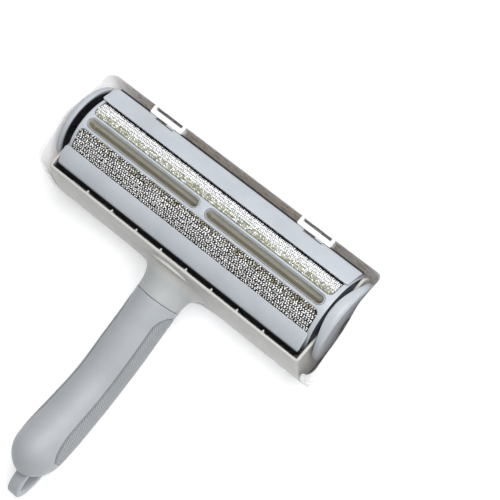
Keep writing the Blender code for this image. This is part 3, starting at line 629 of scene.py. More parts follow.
def metal():
    finish = Finish("turned_steel", 0.28, 0.5, 1.0)
    tones = ((0.3, (0.50, 0.50, 0.52)), (0.7, (0.66, 0.66, 0.68)))
    finish.colour(finish.ramp(finish.noise(300.0, 4.0), tones))
    finish.roughness(finish.span(finish.noise(900.0, 3.0), 0.3, 0.7, 0.2, 0.38))
    finish.bump([(finish.noise(1800.0, 2.0), 0.01, 0.4)])
    return finish.material


# ---------------------------------------------------------------- body

def rear_wall_y(z):
    share = min(1.0, max(0.0, (RIM_Z - z) / (RIM_Z - REAR_LOW_Z)))
    return REAR_Y - REAR_BULGE * math.sin(0.5 * math.pi * share) ** 0.85


def body_mapping(u, z, h):
    """The body's wall in plan: u runs from the middle of the rear wall round a corner to the front."""
    side = 1.0 if u >= 0 else -1.0
    u = abs(u)
    straight = BODY_HALF - CORNER_R
    turn = 0.5 * math.pi * CORNER_R
    if u <= straight:
        place, normal, lean = Vector((u, REAR_Y)), Vector((0.0, -1.0)), 1.0
    elif u <= straight + turn:
        angle = (u - straight) / CORNER_R
        normal = Vector((math.sin(angle), -math.cos(angle)))
        place, lean = Vector((straight, REAR_Y + CORNER_R)) + normal * CORNER_R, 1.0
    else:
        normal = Vector((1.0, 0.0))
        place = Vector((BODY_HALF, REAR_Y + CORNER_R + u - straight - turn))
        lean = 1.0 - smooth_step((place.y - REAR_Y - CORNER_R) / BULGE_FADE)
    place = place + normal * h
    return Vector((side * place.x, place.y + lean * (rear_wall_y(z) - REAR_Y), z))


def body_wall():
    """Rear wall and both end walls in one U-shaped sheet, with a bore for the drum's axle at each end."""
    edge, bore = 0.42, 4.9
    straight = BODY_HALF - CORNER_R
    start = straight + 0.5 * math.pi * CORNER_R
    reach = start + FRONT_Y - REAR_Y - CORNER_R
    def u_of(y):
        return start + y - REAR_Y - CORNER_R
    rim_count, rim_sag, rim_rear = 22, 3.2, REAR_Y + 3.0
    rim = []
    for k in range(rim_count + 1):
        y = FRONT_Y - edge - (FRONT_Y - edge - rim_rear) * k / rim_count
        rim.append((u_of(y), RIM_Z - edge - rim_sag * math.sin(math.pi * k / rim_count) ** 2))
    foot = corner_arc((u_of(0), AXIS_Z), FRONT_Y - edge, -124, 0, 8)
    half = [(0.0, REAR_LOW_Z + edge), (straight, REAR_LOW_Z + edge), (start + 3.0, REAR_LOW_Z + edge)]
    shoulder = [(reach - edge - inset, RIM_Z - edge - drop) for inset, drop in FRONT_SHOULDER]
    half += foot + shoulder + rim[2:] + [(start, RIM_Z - edge), (straight, RIM_Z - edge)]
    outer = half + [(-u, z) for u, z in reversed(half[1:])]
    holes = [corner_arc((side * u_of(0), AXIS_Z), bore, 0, 360, 20)[:-1] for side in (-1, 1)]
    corner = [straight + 0.5 * math.pi * CORNER_R * k / 6 for k in range(7)]
    across = [s * u for u in corner for s in (-1, 1)] + steps(-straight, straight, 6.0)
    across += [s * (start + d) for d in steps(0, reach - start, 3.0) for s in (-1, 1)]
    return bent(slab(outer, holes, across, steps(22, RIM_Z, 1.6), WALL, edge), body_mapping)


def neck_point(angle, share):
    """Skin of the neck: from its footprint on the wall (0) on a tight fillet to the joint (1)."""
    c, s = math.cos(angle), math.sin(angle)
    end = Vector((JOINT_R * c, JOINT_Y - JOINT_LEAN * JOINT_R * s, JOINT_Z + JOINT_R * s))
    width, height, foot_z = 25.5, 20.5 if s > 0 else 13.6, 35.9
    proud = 0.05
    foot = Vector((width * c, 0.0, foot_z + height * s))
    foot.y = rear_wall_y(max(foot.z, REAR_LOW_Z)) - proud
    inward = Vector((-c * (width - JOINT_R), 0.0, -s * (height - JOINT_R)))
    if foot.z >= REAR_LOW_Z + 1.0 and inward.length > 0:
        ahead = foot + inward * 0.1
        inward.y = (rear_wall_y(ahead.z) - rear_wall_y(foot.z)) / 0.1
    pull = foot + inward * 0.80
    hold = end + Vector((0.0, 1.0, JOINT_LEAN * (1 + min(0.0, s)))) * 8.6
    t = share
    return foot * (1 - t)**3 + pull * (3 * t * (1 - t)**2) + hold * (3 * t * t * (1 - t)) + end * t**3


def neck():
    """The neck from inside the wall to the joint, with a small rolled lip at the joint."""
    count, rows, lip_reach = 72, 22, 0.28
    rings = []
    for k in range(rows + 1):
        share = 1.0 - (1.0 - k / rows) ** 1.15
        rings.append([tuple(neck_point(2 * math.pi * i / count, share)) for i in range(count)])
    lip = []
    for reach, along in ((0.05, 0.12), (0.25, 0.28), (4.0, 0.28)):
        scale = (JOINT_R - reach) / JOINT_R
        lip.append([(x * scale, (y - JOINT_Y) * scale + JOINT_Y - along + lip_reach,
                     JOINT_Z + (z - JOINT_Z) * scale) for x, y, z in rings[-1]])
    shifted = [[(x, y + lip_reach, z) for x, y, z in rings[-1]]]
    inner = [[(x * 0.9, -33.6, z) for x, y, z in rings[0]]]
    return loft(inner + rings[:-1] + shifted + lip)


def rib(x):
    """A small tooth on the inner face of the rear wall."""
    rows = []
    for z, reach in ((50.0, 0.4), (57.0, 1.5), (58.6, 1.55), (58.9, 1.35)):
        base = rear_wall_y(z) + WALL - 0.3
        rows.append([(x - 0.85, base, z), (x + 0.85, base, z), (x + 0.5, base + 0.6 * reach, z),
                     (x + 0.22, base + reach + 0.3, z), (x - 0.22, base + reach + 0.3, z),
                     (x - 0.5, base + 0.6 * reach, z)])
    return loft(rows)


def body_shell(material):
    ribs = [rib(RIB_FIRST + RIB_PITCH * k) for k in range(8)]
    whole = joined(body_wall(), neck(), *ribs)
    piece("body_shell", whole, "frame", material, ["body_frame"])


# ---------------------------------------------------------------- lips

def bowed(start, stop, bow, count):
    """Points of a shallow arch between two points, raised by bow at its middle."""
    return [(start[0] + (stop[0] - start[0]) * k / count,
             start[1] + (stop[1] - start[1]) * k / count + 4.0 * bow * (k / count) * (1.0 - k / count))
            for k in range(count + 1)]


def along_track(track):
    """Mapping from (x, length along a track, height over it) to the head."""
    def mapping(u, v, h):
        (y, z), (ny, nz) = track.at(v)
        return Vector((u, y + ny * h, z + nz * h))
    return mapping


def front_lip(material):
    """Curved plate with a rolled edge, a notch at each hinge and a small hook in each notch."""
    track = Track([(13.4, 67.1), (13.75, 67.35)] + bowed((14.4, 67.2), (22.7, 61.15), 0.5, 5)
                  + [(23.4, 60.45), (23.7, 59.6), (23.75, 58.5), (23.75, 56.4)])
    edge, half, thickness = 0.36, 83.2, 1.1
    step = 0.05
    low = next(d * step for d in range(1000) if track.at(d * step)[0][0] >= 22.5)
    high = track.length - 1.2
    notch_left, notch_right = 5.4, 7.4
    holes = []
    for side in (-1, 1):
        x = side * HINGE_X
        holes.append(rounded_box((x - notch_left, low - edge), (x + notch_right, high + edge), (0.4,) * 4, 3))
    outer = rounded_box((-half + edge, edge), (half - edge, track.length - edge), (1.4, 1.4, 0.3, 0.3))
    def mapping(u, v, h):
        (y, z), (ny, nz) = track.at(v)
        return Vector((u, y - ny * h if nz < 0 else y + ny * h, z + abs(nz) * h if nz >= 0 else z - nz * h))
    plate = bent(slab(outer, holes, steps(-half, half, 4.0), steps(0, track.length, 0.7), thickness, edge),
                 mapping)
    hook_shift, reach = 4.6, 2.2
    hooks = []
    for side in (-1, 1):
        x = side * HINGE_X + hook_shift
        arch = Track([(22.75, 57.0), (22.8, 60.3), (23.1, 60.95), (23.7, 60.7), (24.2, 59.2)])
        sheet = rounded_box((x - reach, 0.4), (x + reach, arch.length), (0.6,) * 4)
        hook = slab(sheet, [], steps(x - reach, x + reach, 1.5), steps(0, arch.length, 0.5), 0.9, 0.3)
        hooks.append(bent(hook, along_track(arch)))
    piece("front_lip", joined(plate, *hooks), "frame", material, ["front_lip_plate"])


def rear_lip(material):
    """Wide plate behind the rear strip, rolled down at its outer edge and rounded in plan."""
    top = [(-16.5, 65.5), (-16.85, 65.75)] + bowed((-17.5, 65.5), (-26.0, 60.5), 0.6, 6)
    skirt = [(-26.5, 59.9), (-26.75, 59.2), (-26.8, 58.3), (-27.0, 54.0), (-28.6, 49.0)]
    track = Track(list(reversed(top + skirt)))
    edge, half, thickness, corner = 0.36, 82.9, 1.2, 3.0
    outer = rounded_box((-half + edge, edge), (half - edge, track.length - edge), (0.3, 0.3, 2.2, 2.2), 8)
    def mapping(u, v, h):
        (y, z), (ny, nz) = track.at(v)
        depth = min(corner, max(0.0, y + 28.0))
        inset = corner - math.sqrt(max(0.0, corner**2 - (corner - depth) ** 2))
        return Vector((u * (half - inset) / half, y + ny * h, z + nz * h))
    plate = slab(outer, [], steps(-half, half, 4.0), steps(0, track.length, 0.6), thickness, edge)
    piece("rear_lip", bent(plate, mapping), "frame", material, ["rear_lip_plate"])


# ---------------------------------------------------------------- drum

def on_drum(base):
    """Mapping from (x, arc length at the drum's radius, height over base) to the drum."""
    def mapping(u, v, h):
        angle = v / DRUM_R
        return Vector((u, (base + h) * math.sin(angle), AXIS_Z + (base + h) * math.cos(angle)))
    return mapping


def arc_of(degrees):
    return math.radians(degrees) * DRUM_R


def strip_outline(strip, margin, radius):
    """Rounded outline of a fabric strip on the flat, grown by a margin."""
    low, high = arc_of(strip[0]), arc_of(strip[1])
    return rounded_box((-FABRIC_HALF - margin, low - margin), (FABRIC_HALF + margin, high + margin),
                       (radius,) * 4, 7)


def drum_skin(material):
    """The drum's shell with its slots and the two sunk seats that the fabric lies in."""
    edge = 0.3
    reach = arc_of(112)
    outer = [(-DRUM_HALF, -reach), (DRUM_HALF, -reach), (DRUM_HALF, reach), (-DRUM_HALF, reach)]
    slots = [stadium(SLOT_LENGTH + 2 * edge, SLOT_WIDTH + 2 * edge, (x, SLOT_Y)) for x in SLOT_CENTRES]
    holes = [strip_outline(strip, 0.35 + edge, 3.2) for strip in (FRONT_STRIP, REAR_STRIP)] + slots
    rows = steps(-reach, reach, 1.3)
    skin = bent(slab(outer, holes, steps(-DRUM_HALF, DRUM_HALF, 6.0), rows, 1.6, edge), on_drum(DRUM_R))
    seat = slab(outer, slots, steps(-DRUM_HALF, DRUM_HALF, 9.0), rows, 1.8, 0.1)
    lining = bent(seat, on_drum(SEAT_R - 0.1))
    piece("drum_skin", joined(skin, lining), "drum", material, ["drum_shell"])


def drum_cap(side, word, material):
    """End plate of the drum with a stepped hub; the right one stands out further."""
    shoulder = 82.15 if side < 0 else 83.1
    profile = [(82.0, 6.0), (82.0, DRUM_R)]
    profile += corner_arc((shoulder, DRUM_R - 0.5), 0.5, 90, 0, 5)
    profile += [(shoulder + 0.5, 22.0), (84.0, 21.6), (84.3, 21.2), (84.3, 17.0), (83.3, 15.8), (83.3, 6.0)]
    cap = spun(profile, 0, 360, 128)
    if side < 0:
        mirrored(cap)
    piece("drum_cap_" + word, cap, "drum", material, ["drum_end_" + word])


def trough(x, word, material):
    """A thin-walled round-ended channel with a rounded floor."""
    length, width = SLOT_LENGTH - 0.55, SLOT_WIDTH - 0.55
    top = AXIS_Z + DRUM_R - 0.12
    rings = [(0.4, 61.0), (0.0, 61.6), (0.0, top - 0.3), (0.08, top - 0.08), (0.2, top), (0.3, top),
             (0.42, top - 0.12), (0.5, top - 0.5), (0.62, top - 2.0), (0.8, top - 3.8), (1.1, top - 5.2),
             (1.6, top - 6.1), (2.2, top - 6.5), (2.7, top - 6.6)]
    loops = []
    for inset, z in rings:
        outline = stadium(length - 2 * inset, width - 2 * inset, (x, SLOT_Y), 14)
        loops.append([(u, v, z) for u, v in outline])
    piece("slot_trough_" + word, loft(loops), "drum", material, ["slot_insert_" + word])


def backing(strip, word, material):
    """The woven backing that the pile stands on, glued into its seat on the drum."""
    outline = strip_outline(strip, -0.15, 2.8)
    low, high = arc_of(strip[0]), arc_of(strip[1])
    sheet = slab(outline, [], steps(-FABRIC_HALF, FABRIC_HALF, 2.0), steps(low, high, 0.9), 0.6, 0.12, 2)
    return piece("lint_cloth_" + word, bent(sheet, on_drum(SEAT_R + 0.72)), "drum", material,
                 ["fabric_strip_" + word])


def tuft(place, lean, length, width, tip):
    """Rows of one bent bristle tuft: a flat loop that rises, then lies over along its lean."""
    rows = []
    count = 5
    for k in range(count + 1):
        t = k / count
        along = length * (1.0 - (1.0 - t) ** 1.8)
        rise = tip * math.sin(0.5 * math.pi * min(1.0, 1.35 * t)) * (1.0 - 0.35 * max(0.0, t - 0.6) / 0.4)
        half = 0.5 * width * (0.55 + 1.1 * t - 1.05 * t**3)
        ring = []
        for corner in range(6):
            angle = 2 * math.pi * corner / 6
            across = half * math.cos(angle)
            up = 0.36 * half * math.sin(angle) + rise
            ring.append((place[0] + along * math.cos(lean) - across * math.sin(lean),
                         place[1] + along * math.sin(lean) + across * math.cos(lean), up))
        rows.append(ring)
    return rows


def inside_corners(x, v, low, high, radius, margin):
    """True if a point of the strip is inside its rounded outline."""
    dx = max(0.0, abs(x) - (FABRIC_HALF - margin - radius))
    middle, half = 0.5 * (low + high), 0.5 * (high - low) - margin - radius
    dv = max(0.0, abs(v - middle) - half)
    return math.hypot(dx, dv) <= radius


def pile(strip, word, pitch, row_pitch, size, seed, tones, material):
    """Rows of tufts in a herringbone: the lean alternates from row to row."""
    dice = random.Random(seed)
    low, high = arc_of(strip[0]), arc_of(strip[1])
    bm = bmesh.new()
    tone = bm.verts.layers.float.new("tone")
    rise = bm.verts.layers.float.new("rise")
    length, width, tip, drift, slant = size
    shift, row_shift, swing = 0.13, 0.16, 18            # random: shares of a pitch, and degrees
    rows = int((high - low - 0.4) / row_pitch)
    for row in range(rows + 1):
        v = low + 0.5 + (high - low - 1.0) * row / rows
        share = (v - low) / (high - low)
        phase = (row * drift) % 1.0
        for column in range(int(2 * FABRIC_HALF / pitch) + 1):
            x = -FABRIC_HALF + (column + phase + dice.uniform(-shift, shift)) * pitch
            y = v + dice.uniform(-row_shift, row_shift) * row_pitch
            lean = math.radians((slant if row % 2 else 180 - slant) + dice.uniform(-swing, swing))
            scale = dice.uniform(0.82, 1.15)
            value = tones(share, dice)
            pressed = PARTING[0] < math.degrees(y / DRUM_R) < PARTING[1]
            if pressed or not inside_corners(x, y, low, high, 2.6, 0.25):
                continue
            start = (x - 0.5 * length * scale * math.cos(lean), y - 0.5 * length * scale * math.sin(lean))
            rings = tuft(start, lean, length * scale, width * scale, tip * scale)
            for ring_index, ring in enumerate(capped(bm, rings)):
                for vert in ring:
                    vert[tone] = value
                    vert[rise] = min(1.0, ring_index / 3.0)
    bent(bm, on_drum(SEAT_R + 0.66))
    return piece("lint_pile_" + word, bm, "drum", material, outward=False, sharp=60)


def front_tone(share, dice):
    """White glints, with olive and yellow-green tufts in the rows nearest the slots."""
    if share < 0.22 and dice.random() < 0.85 - 1.8 * share:
        return dice.uniform(0.05, 0.45)
    return dice.uniform(0.56, 1.0)


def rear_tone(share, dice):
    """Near white, with olive tufts in the rows nearest the slots."""
    if share > 0.74 and dice.random() < 2.6 * (share - 0.70):
        return dice.uniform(0.05, 0.45)
    return dice.uniform(0.5, 1.0)


def fabric():
    """Both strips: a woven backing each, and the pile that stands on it."""
    front_stops = ((0.0, (0.17, 0.175, 0.09)), (0.2, (0.40, 0.415, 0.26)), (0.45, (0.64, 0.64, 0.53)),
                   (0.52, (0.52, 0.53, 0.55)), (0.66, (0.80, 0.80, 0.81)), (1.0, (0.92, 0.92, 0.92)))
    rear_stops = ((0.0, (0.22, 0.20, 0.11)), (0.25, (0.46, 0.43, 0.30)), (0.45, (0.66, 0.63, 0.50)),
                  (0.52, (0.74, 0.73, 0.70)), (0.7, (0.98, 0.98, 0.97)), (1.0, (1.0, 1.0, 1.0)))
    setups = (
        (FRONT_STRIP, "front", 1.04, 0.86, (1.12, 0.80, 0.75, 0.62, 40), 11, front_tone,
         pile_material("pile_front", front_stops, (0.62, 0.63, 0.64)),
         backing_material("backing_front", (0.10, 0.103, 0.10), (0.22, 0.225, 0.22))),
        (REAR_STRIP, "rear", 1.46, 1.16, (1.66, 0.64, 0.78, 0.28, 50), 23, rear_tone,
         pile_material("pile_rear", rear_stops, (0.25, 0.25, 0.26)),
         backing_material("backing_rear", (0.006, 0.006, 0.008), (0.02, 0.02, 0.024))),
    )
    for strip, word, pitch, row_pitch, size, seed, tones, pile_look, cloth_look in setups:
        cloth = backing(strip, word, cloth_look)
        hair = pile(strip, word, pitch, row_pitch, size, seed, tones, pile_look)
        width = (arc_of(strip[1]) - arc_of(strip[0])) * (SEAT_R + 0.7) / DRUM_R


# ---------------------------------------------------------------- wheels

def wheel(side, word, tread_look, dish_look):
    """Half wheel: a gray band with a rounded outer shoulder, dished and dark on its inner side.

    The right band is wider at its top, where it reaches in over the end of the drum."""
    span = 80.0                 # degrees each way from straight up
    band = [(WHEEL_IN, WHEEL_R - 0.5)] + corner_arc((WHEEL_IN + 0.45, WHEEL_R - 0.45), 0.45, 180, 90, 4)
    band += corner_arc((WHEEL_OUT - 1.9, WHEEL_R - 1.9), 1.9, 90, 0, 8)
    band += [(WHEEL_OUT, 17.0), (WHEEL_OUT - 0.3, 9.0), (WHEEL_OUT - 1.3, 9.0), (WHEEL_OUT - 1.2, 17.0)]
    band += corner_arc((WHEEL_OUT - 2.4, WHEEL_R - 3.2), 1.2, 0, 90, 4) + [(WHEEL_IN + 0.3, WHEEL_R - 2.0)]
    tread = spun(band, -span, span, 90)
    if side > 0:
        for vert in tread.verts:
            angle = abs(math.degrees(math.atan2(vert.co.y, vert.co.z - AXIS_Z)))
            near_top = smooth_step((54.0 - angle) / 50.0)
            near_inside = smooth_step((WHEEL_OUT - 1.0 - vert.co.x) / 2.6)
            vert.co.x -= 2.5 * near_top * near_inside
    rim = WHEEL_R - 2.5
    face = [(0.5, rim), (0.5, rim - 0.8), (1.6, rim - 1.6), (1.9, 12.5), (1.2, 11.8), (1.2, 10.6), (1.9, 9.9),
            (1.9, 6.6), (0.4, 5.8), (0.4, 2.7)]
    dish = [(WHEEL_OUT - 1.4, rim - 1.4), (WHEEL_OUT - 1.9, rim)]
    dish += [(WHEEL_IN + depth, radius) for depth, radius in face] + [(WHEEL_OUT - 1.4, 2.7)]
    hub = [spun(dish, -span, span, 72)]
    for k in range(7):                          # seven spokes on the inner face
        angle = math.radians(-66 + 22 * k)
        c, s = math.cos(angle), math.sin(angle)
        rows = []
        for r, lift in ((7.0, 1.7), (9.0, 1.0), (19.2, 1.0), (20.4, 0.2)):
            x = WHEEL_IN + 2.1
            rows.append([(x, r * s - w * c, AXIS_Z + r * c + w * s) for w in (-0.4, 0.4)]
                        + [(x - lift, r * s + w * c, AXIS_Z + r * c - w * s) for w in (-0.3, 0.3)])
        hub.append(loft(rows))
    whole = joined(*hub)
    if side < 0:
        mirrored(tread)
        mirrored(whole)
    piece("wheel_band_" + word, tread, "drum", tread_look, ["wheel_tyre_" + word])
    piece("wheel_dish_" + word, whole, "drum", dish_look, ["wheel_hub_" + word])


# ---------------------------------------------------------------- cover

def dome(z, height, power):
    """Share of the full width that a domed wall has at height z: 0 at the crown's level, 1 at the top."""
    low = min(1.0, max(0.0, (height - z) / height))
    return (1.0 - low**power) ** (1.0 / power)


def side_x(z, rim_y):
    reach = COVER_SIDE + COVER_FLARE * smooth_step((14.0 - rim_y) / 20.0)
    return CROWN_HALF + (reach - CROWN_HALF) * dome(z, *SIDE_DOME)


def front_y(z):
    return CROWN_FRONT + (COVER_FRONT - CROWN_FRONT) * dome(z, *FRONT_DOME)


def rear_y(z):
    if z >= REAR_LOW_Z:
        return rear_wall_y(z)
    return CROWN_REAR + (rear_wall_y(REAR_LOW_Z) - CROWN_REAR) * dome(z, *REAR_DOME)


def corner_radius(z):
    return 5.5 + 8.5 * (1.0 - min(z, 60.0) / 60.0) ** 1.5


def rear_radius(z):
    return 4.5 + 9.5 * (1.0 - min(z, REAR_LOW_Z) / REAR_LOW_Z) ** 1.5


def rear_narrowing(z):
    foot = side_x(REAR_LOW_Z, SIDE_REAR) - rear_radius(REAR_LOW_Z)
    return min(1.0, (side_x(min(z, REAR_LOW_Z), SIDE_REAR) - rear_radius(z)) / foot)


def neck_under(x, y):
    """Height of the tongue's rim where it lies on the neck."""
    neck_length, straight, proud = 14.2, 0.12, 1.8
    share = min(1.0, max(0.0, (y - JOINT_Y) / neck_length))
    flare = 1.0 - math.sqrt(max(0.0, 1.0 - max(0.0, (share - straight) / (1.0 - straight)) ** 2.2))
    width, below = JOINT_R + 9.5 * flare + proud, JOINT_R + 0.2 * flare + proud
    drop = below * math.sqrt(max(0.05, 1.0 - (x / width) ** 2))
    return min(REAR_LOW_Z - 0.3, JOINT_Z + 1.6 * share - drop)


def cover_columns():
    """Columns of the right half: (kind, where along it, rim height), front centre to tongue tip.

    where is x on flat stretches, degrees in corners, a share on the side, and (x, y, share) on the tongue."""
    edge = 0.5 * COVER_WALL
    front = sorted({4.0 * k for k in range(21)} | {HINGE_X - WINDOW_HALF, HINGE_X + WINDOW_HALF})
    columns = [("front", x, RIM_FRONT) for x in front if abs(x - 60.0) > 1.0]
    corner = [k / CORNER_STEPS for k in range(CORNER_STEPS + 1)]
    columns += [("front corner", 90.0 * t, RIM_FRONT + 4.3 * smooth_step(t)) for t in corner]
    for k in range(1, SIDE_STEPS):
        columns.append(("side", k / SIDE_STEPS, between(SIDE_RIM, FRONT_Y - SIDE_RUN * k / SIDE_STEPS)))
    columns += [("rear corner", 90.0 * t, 58.6 - 7.0 * t**1.5) for t in corner]
    for k in range(1, 13):
        turn = 0.5 * math.pi * k / 12
        columns.append(("rear", 91.4 - 4.4 * math.sin(turn) ** 0.9, 28.0 + 23.6 * math.cos(turn) ** 0.8))
    columns += [("rear", x, REAR_LOW_Z - 0.3) for x in steps(87.0, 36.0, 4.0)]
    # How far the tongue stands out behind the wall, and how much of a tongue it is, by distance in x
    outs = ((40.0, 0.0), (31.0, 0.1), (25.0, 0.35), (20.0, 0.9), (16.0, 1.9), (12.6, 3.3), (10.0, 5.0))
    shares = ((40.0, 0.0), (31.0, 0.02), (25.0, 0.08), (20.0, 0.2), (16.0, 0.4), (12.6, 0.65), (10.0, 0.85))
    for x in steps(36.0, 9.2, 1.7):
        columns.append(("tongue", (x, rear_y(REAR_LOW_Z) - between(outs, x), between(shares, x)), None))
    for t in corner:
        angle = math.radians(12 + 78 * t)
        x = TONGUE_R * math.cos(angle) * (1.12 - 0.12 * t)
        columns.append(("tongue", (x, TONGUE_Y - TONGUE_R * math.sin(angle), 1.0), None))
    return [(kind, where, rim if rim is None else rim - edge) for kind, where, rim in columns]


def column_xy(kind, where, z):
    """Place of a wall column at a height, in the right half."""
    radius = corner_radius(z)
    if kind == "front":
        return where * min(1.0, (side_x(z, 20.0) - radius) / 86.0), front_y(z)
    if kind == "front corner":
        angle = math.radians(where)
        return (side_x(z, 20.0) - radius * (1.0 - math.sin(angle)),
                front_y(z) - radius * (1.0 - math.cos(angle)))
    if kind == "side":
        start, stop = front_y(z) - radius, rear_y(z) + rear_radius(z)
        return side_x(z, FRONT_Y - SIDE_RUN * where), start + (stop - start) * where
    if kind == "rear corner":
        angle = math.radians(where)
        radius = rear_radius(z)
        return (side_x(z, SIDE_REAR) - radius * (1.0 - math.cos(angle)),
                rear_y(z) + radius * (1.0 - math.sin(angle)))
    return where * rear_narrowing(z), rear_y(z)


def rise_height(rim_z, t):
    return rim_z * (1.0 - math.cos(0.5 * math.pi * t)) ** RISE_POWER


def cover_column(kind, where, rim_z, rises):
    """Points of one column from the crown's edge up to the rim."""
    column = []
    if kind != "tongue":
        for t in rises:
            z = rise_height(rim_z, t)
            column.append(Vector((*column_xy(kind, where, z), z)))
        return column
    x, y, share = where
    rim_z = neck_under(x, y)
    for t in rises:
        height = rise_height(rim_z, t)
        wall = dome(height, *REAR_DOME) / dome(rim_z, *REAR_DOME)
        reach = wall * (1.0 - share) + t**0.9 * share
        narrow = rear_narrowing(height) * (1.0 - share) + share
        column.append(Vector((x * narrow, CROWN_REAR + (y - CROWN_REAR) * reach,
                              height * (1.0 - share) + rim_z * t**1.45 * share)))
    return column


def cover_grid():
    """Outer skin of the cover as columns of points, and the rows at the windows' edges."""
    rim = RIM_FRONT - 0.5 * COVER_WALL
    window = [math.acos(1.0 - (z / rim) ** (1.0 / RISE_POWER)) / (0.5 * math.pi)
              for z in (WINDOW_LOW, WINDOW_HIGH)]
    even = [k / RISE_STEPS for k in range(RISE_STEPS + 1)]
    rises = sorted([t for t in even if min(abs(t - edge) for edge in window) > 0.012] + window)
    keys = [(kind, where, 1.0) for kind, where, _ in cover_columns()]
    half = [cover_column(kind, where, z, rises) for kind, where, z in cover_columns()]
    mirror = [[Vector((-p.x, p.y, p.z)) for p in column] for column in reversed(half[1:-1])]
    keys += [(kind, where, -1.0) for kind, where, _ in reversed(keys[1:-1])]
    return half + mirror, keys, [rises.index(t) for t in window]


def wall_normal(kind, where, point):
    """Outward normal of the cover's wall at one point of a column."""
    z, step = point.z, min(0.2, 0.2 * point.z)
    side = 0.01 if kind == "side" else 0.3
    along = [Vector((*column_xy(kind, where + d, z), z)) for d in (-side, side)]
    upward = [Vector((*column_xy(kind, where, z + d), z + d)) for d in (-step, step)]
    normal = (along[1] - along[0]).cross(upward[1] - upward[0]).normalized()
    return normal if normal.dot(point - Vector((0.0, -3.0, 40.0))) > 0 else -normal


def skin_normals(columns, keys):
    """Outward normals: from the wall's own formula, or from the neighbours on the tongue."""
    count, rows = len(columns), len(columns[0])
    normals = []
    for i in range(count):
        kind, where, mirror = keys[i]
        line = [Vector((0.0, 0.0, -1.0))]
        for j in range(1, rows):
            point = columns[i][j]
            if kind == "tongue":
                around = columns[(i + 1) % count][j] - columns[i - 1][j]
                normal = around.cross(columns[i][min(rows - 1, j + 1)] - columns[i][j - 1]).normalized()
                normal = normal if normal.z < 0 else -normal
            else:
                normal = wall_normal(kind, where, Vector((mirror * point.x, point.y, point.z)))
                normal.x *= mirror
            line.append(normal)
        normals.append(line)
    return normals


def cover_shell(material):
    """Outer and inner skin of the cover, its two windows, its rolled rim and its flat crown."""
    columns, keys, (low_row, high_row) = cover_grid()
    normals = skin_normals(columns, keys)
    count, rows = len(columns), len(columns[0])
    bm = bmesh.new()
    lining = bm.verts.layers.float.new("lining")
    outer = [[bm.verts.new(p) for p in column] for column in columns]
    inner = [[bm.verts.new(p - n * COVER_WALL) for p, n in zip(column, line)]
             for column, line in zip(columns, normals)]
    for column in inner:
        for vert in column:
            vert[lining] = 1.0
    def in_window(i, j):
        """True for a face of the skin that a hinge window takes out."""
        x = 0.5 * (columns[i][-1].x + columns[(i + 1) % count][-1].x)
        return (columns[i][-1].y > 28.0 and low_row <= j < high_row
                and HINGE_X - WINDOW_HALF < abs(x) < HINGE_X + WINDOW_HALF)
    for i in range(count):
        k = (i + 1) % count
        for j in range(rows - 1):
            if in_window(i, j):
                continue
            bm.faces.new((outer[i][j], outer[k][j], outer[k][j + 1], outer[i][j + 1]))
            bm.faces.new((inner[i][j], inner[i][j + 1], inner[k][j + 1], inner[k][j]))
            for p, q, beyond in (((i, j), (k, j), (i, j - 1)), ((i, j + 1), (k, j + 1), (i, j + 1)),
                                 ((i, j), (i, j + 1), (i - 1, j)), ((k, j), (k, j + 1), (k, j))):
                if 0 <= beyond[1] < rows - 1 and in_window(beyond[0] % count, beyond[1]):
                    bm.faces.new((outer[p[0]][p[1]], outer[q[0]][q[1]], inner[q[0]][q[1]], inner[p[0]][p[1]]))
    turn = 6
    previous = [column[-1] for column in outer]
    for step in range(1, turn + 1):
        ring = []
        angle = math.pi * step / turn
        for i in range(count):
            along = columns[(i + 1) % count][-1] - columns[i - 1][-1]
            up = normals[i][-1].cross(along).normalized()
            if up.dot(columns[i][-1] - columns[i][-2]) < 0:
                up = -up
            place = columns[i][-1] - normals[i][-1] * (0.5 * COVER_WALL * (1.0 - math.cos(angle)))
            place += up * (0.5 * COVER_WALL * math.sin(angle))
            ring.append(inner[i][-1] if step == turn else bm.verts.new(place))
        ring_faces(bm, previous, ring)
        previous = ring
    for skin, height in ((outer, 0.0), (inner, COVER_WALL)):
        centre = Vector((0.0, 0.5 * (CROWN_FRONT + CROWN_REAR), height))
        ring = [column[0] for column in skin]
        for share in (0.75, 0.5, 0.25):
            following = [bm.verts.new(centre.lerp(column[0].co, share)) for column in skin]
            for vert in following:
                vert[lining] = 1.0 if height else 0.0
            for i in range(count):
                k = (i + 1) % count
                bm.faces.new((ring[i], following[i], following[k], ring[k]))
            ring = following
        hub = bm.verts.new(centre)
        hub[lining] = 1.0 if height else 0.0
        for i in range(count):
            bm.faces.new((ring[i], hub, ring[(i + 1) % count]))
    piece("cover_shell", bm, "cover", material, ["dust_cover"], sharp=50)


def upright(outline, holes, x_lines, y_lines, height, edge, top):
    """A block with an outline in plan, its top face at a height."""
    return bent(slab(outline, holes, x_lines, y_lines, height, edge), lambda u, v, h: Vector((u, v, top + h)))


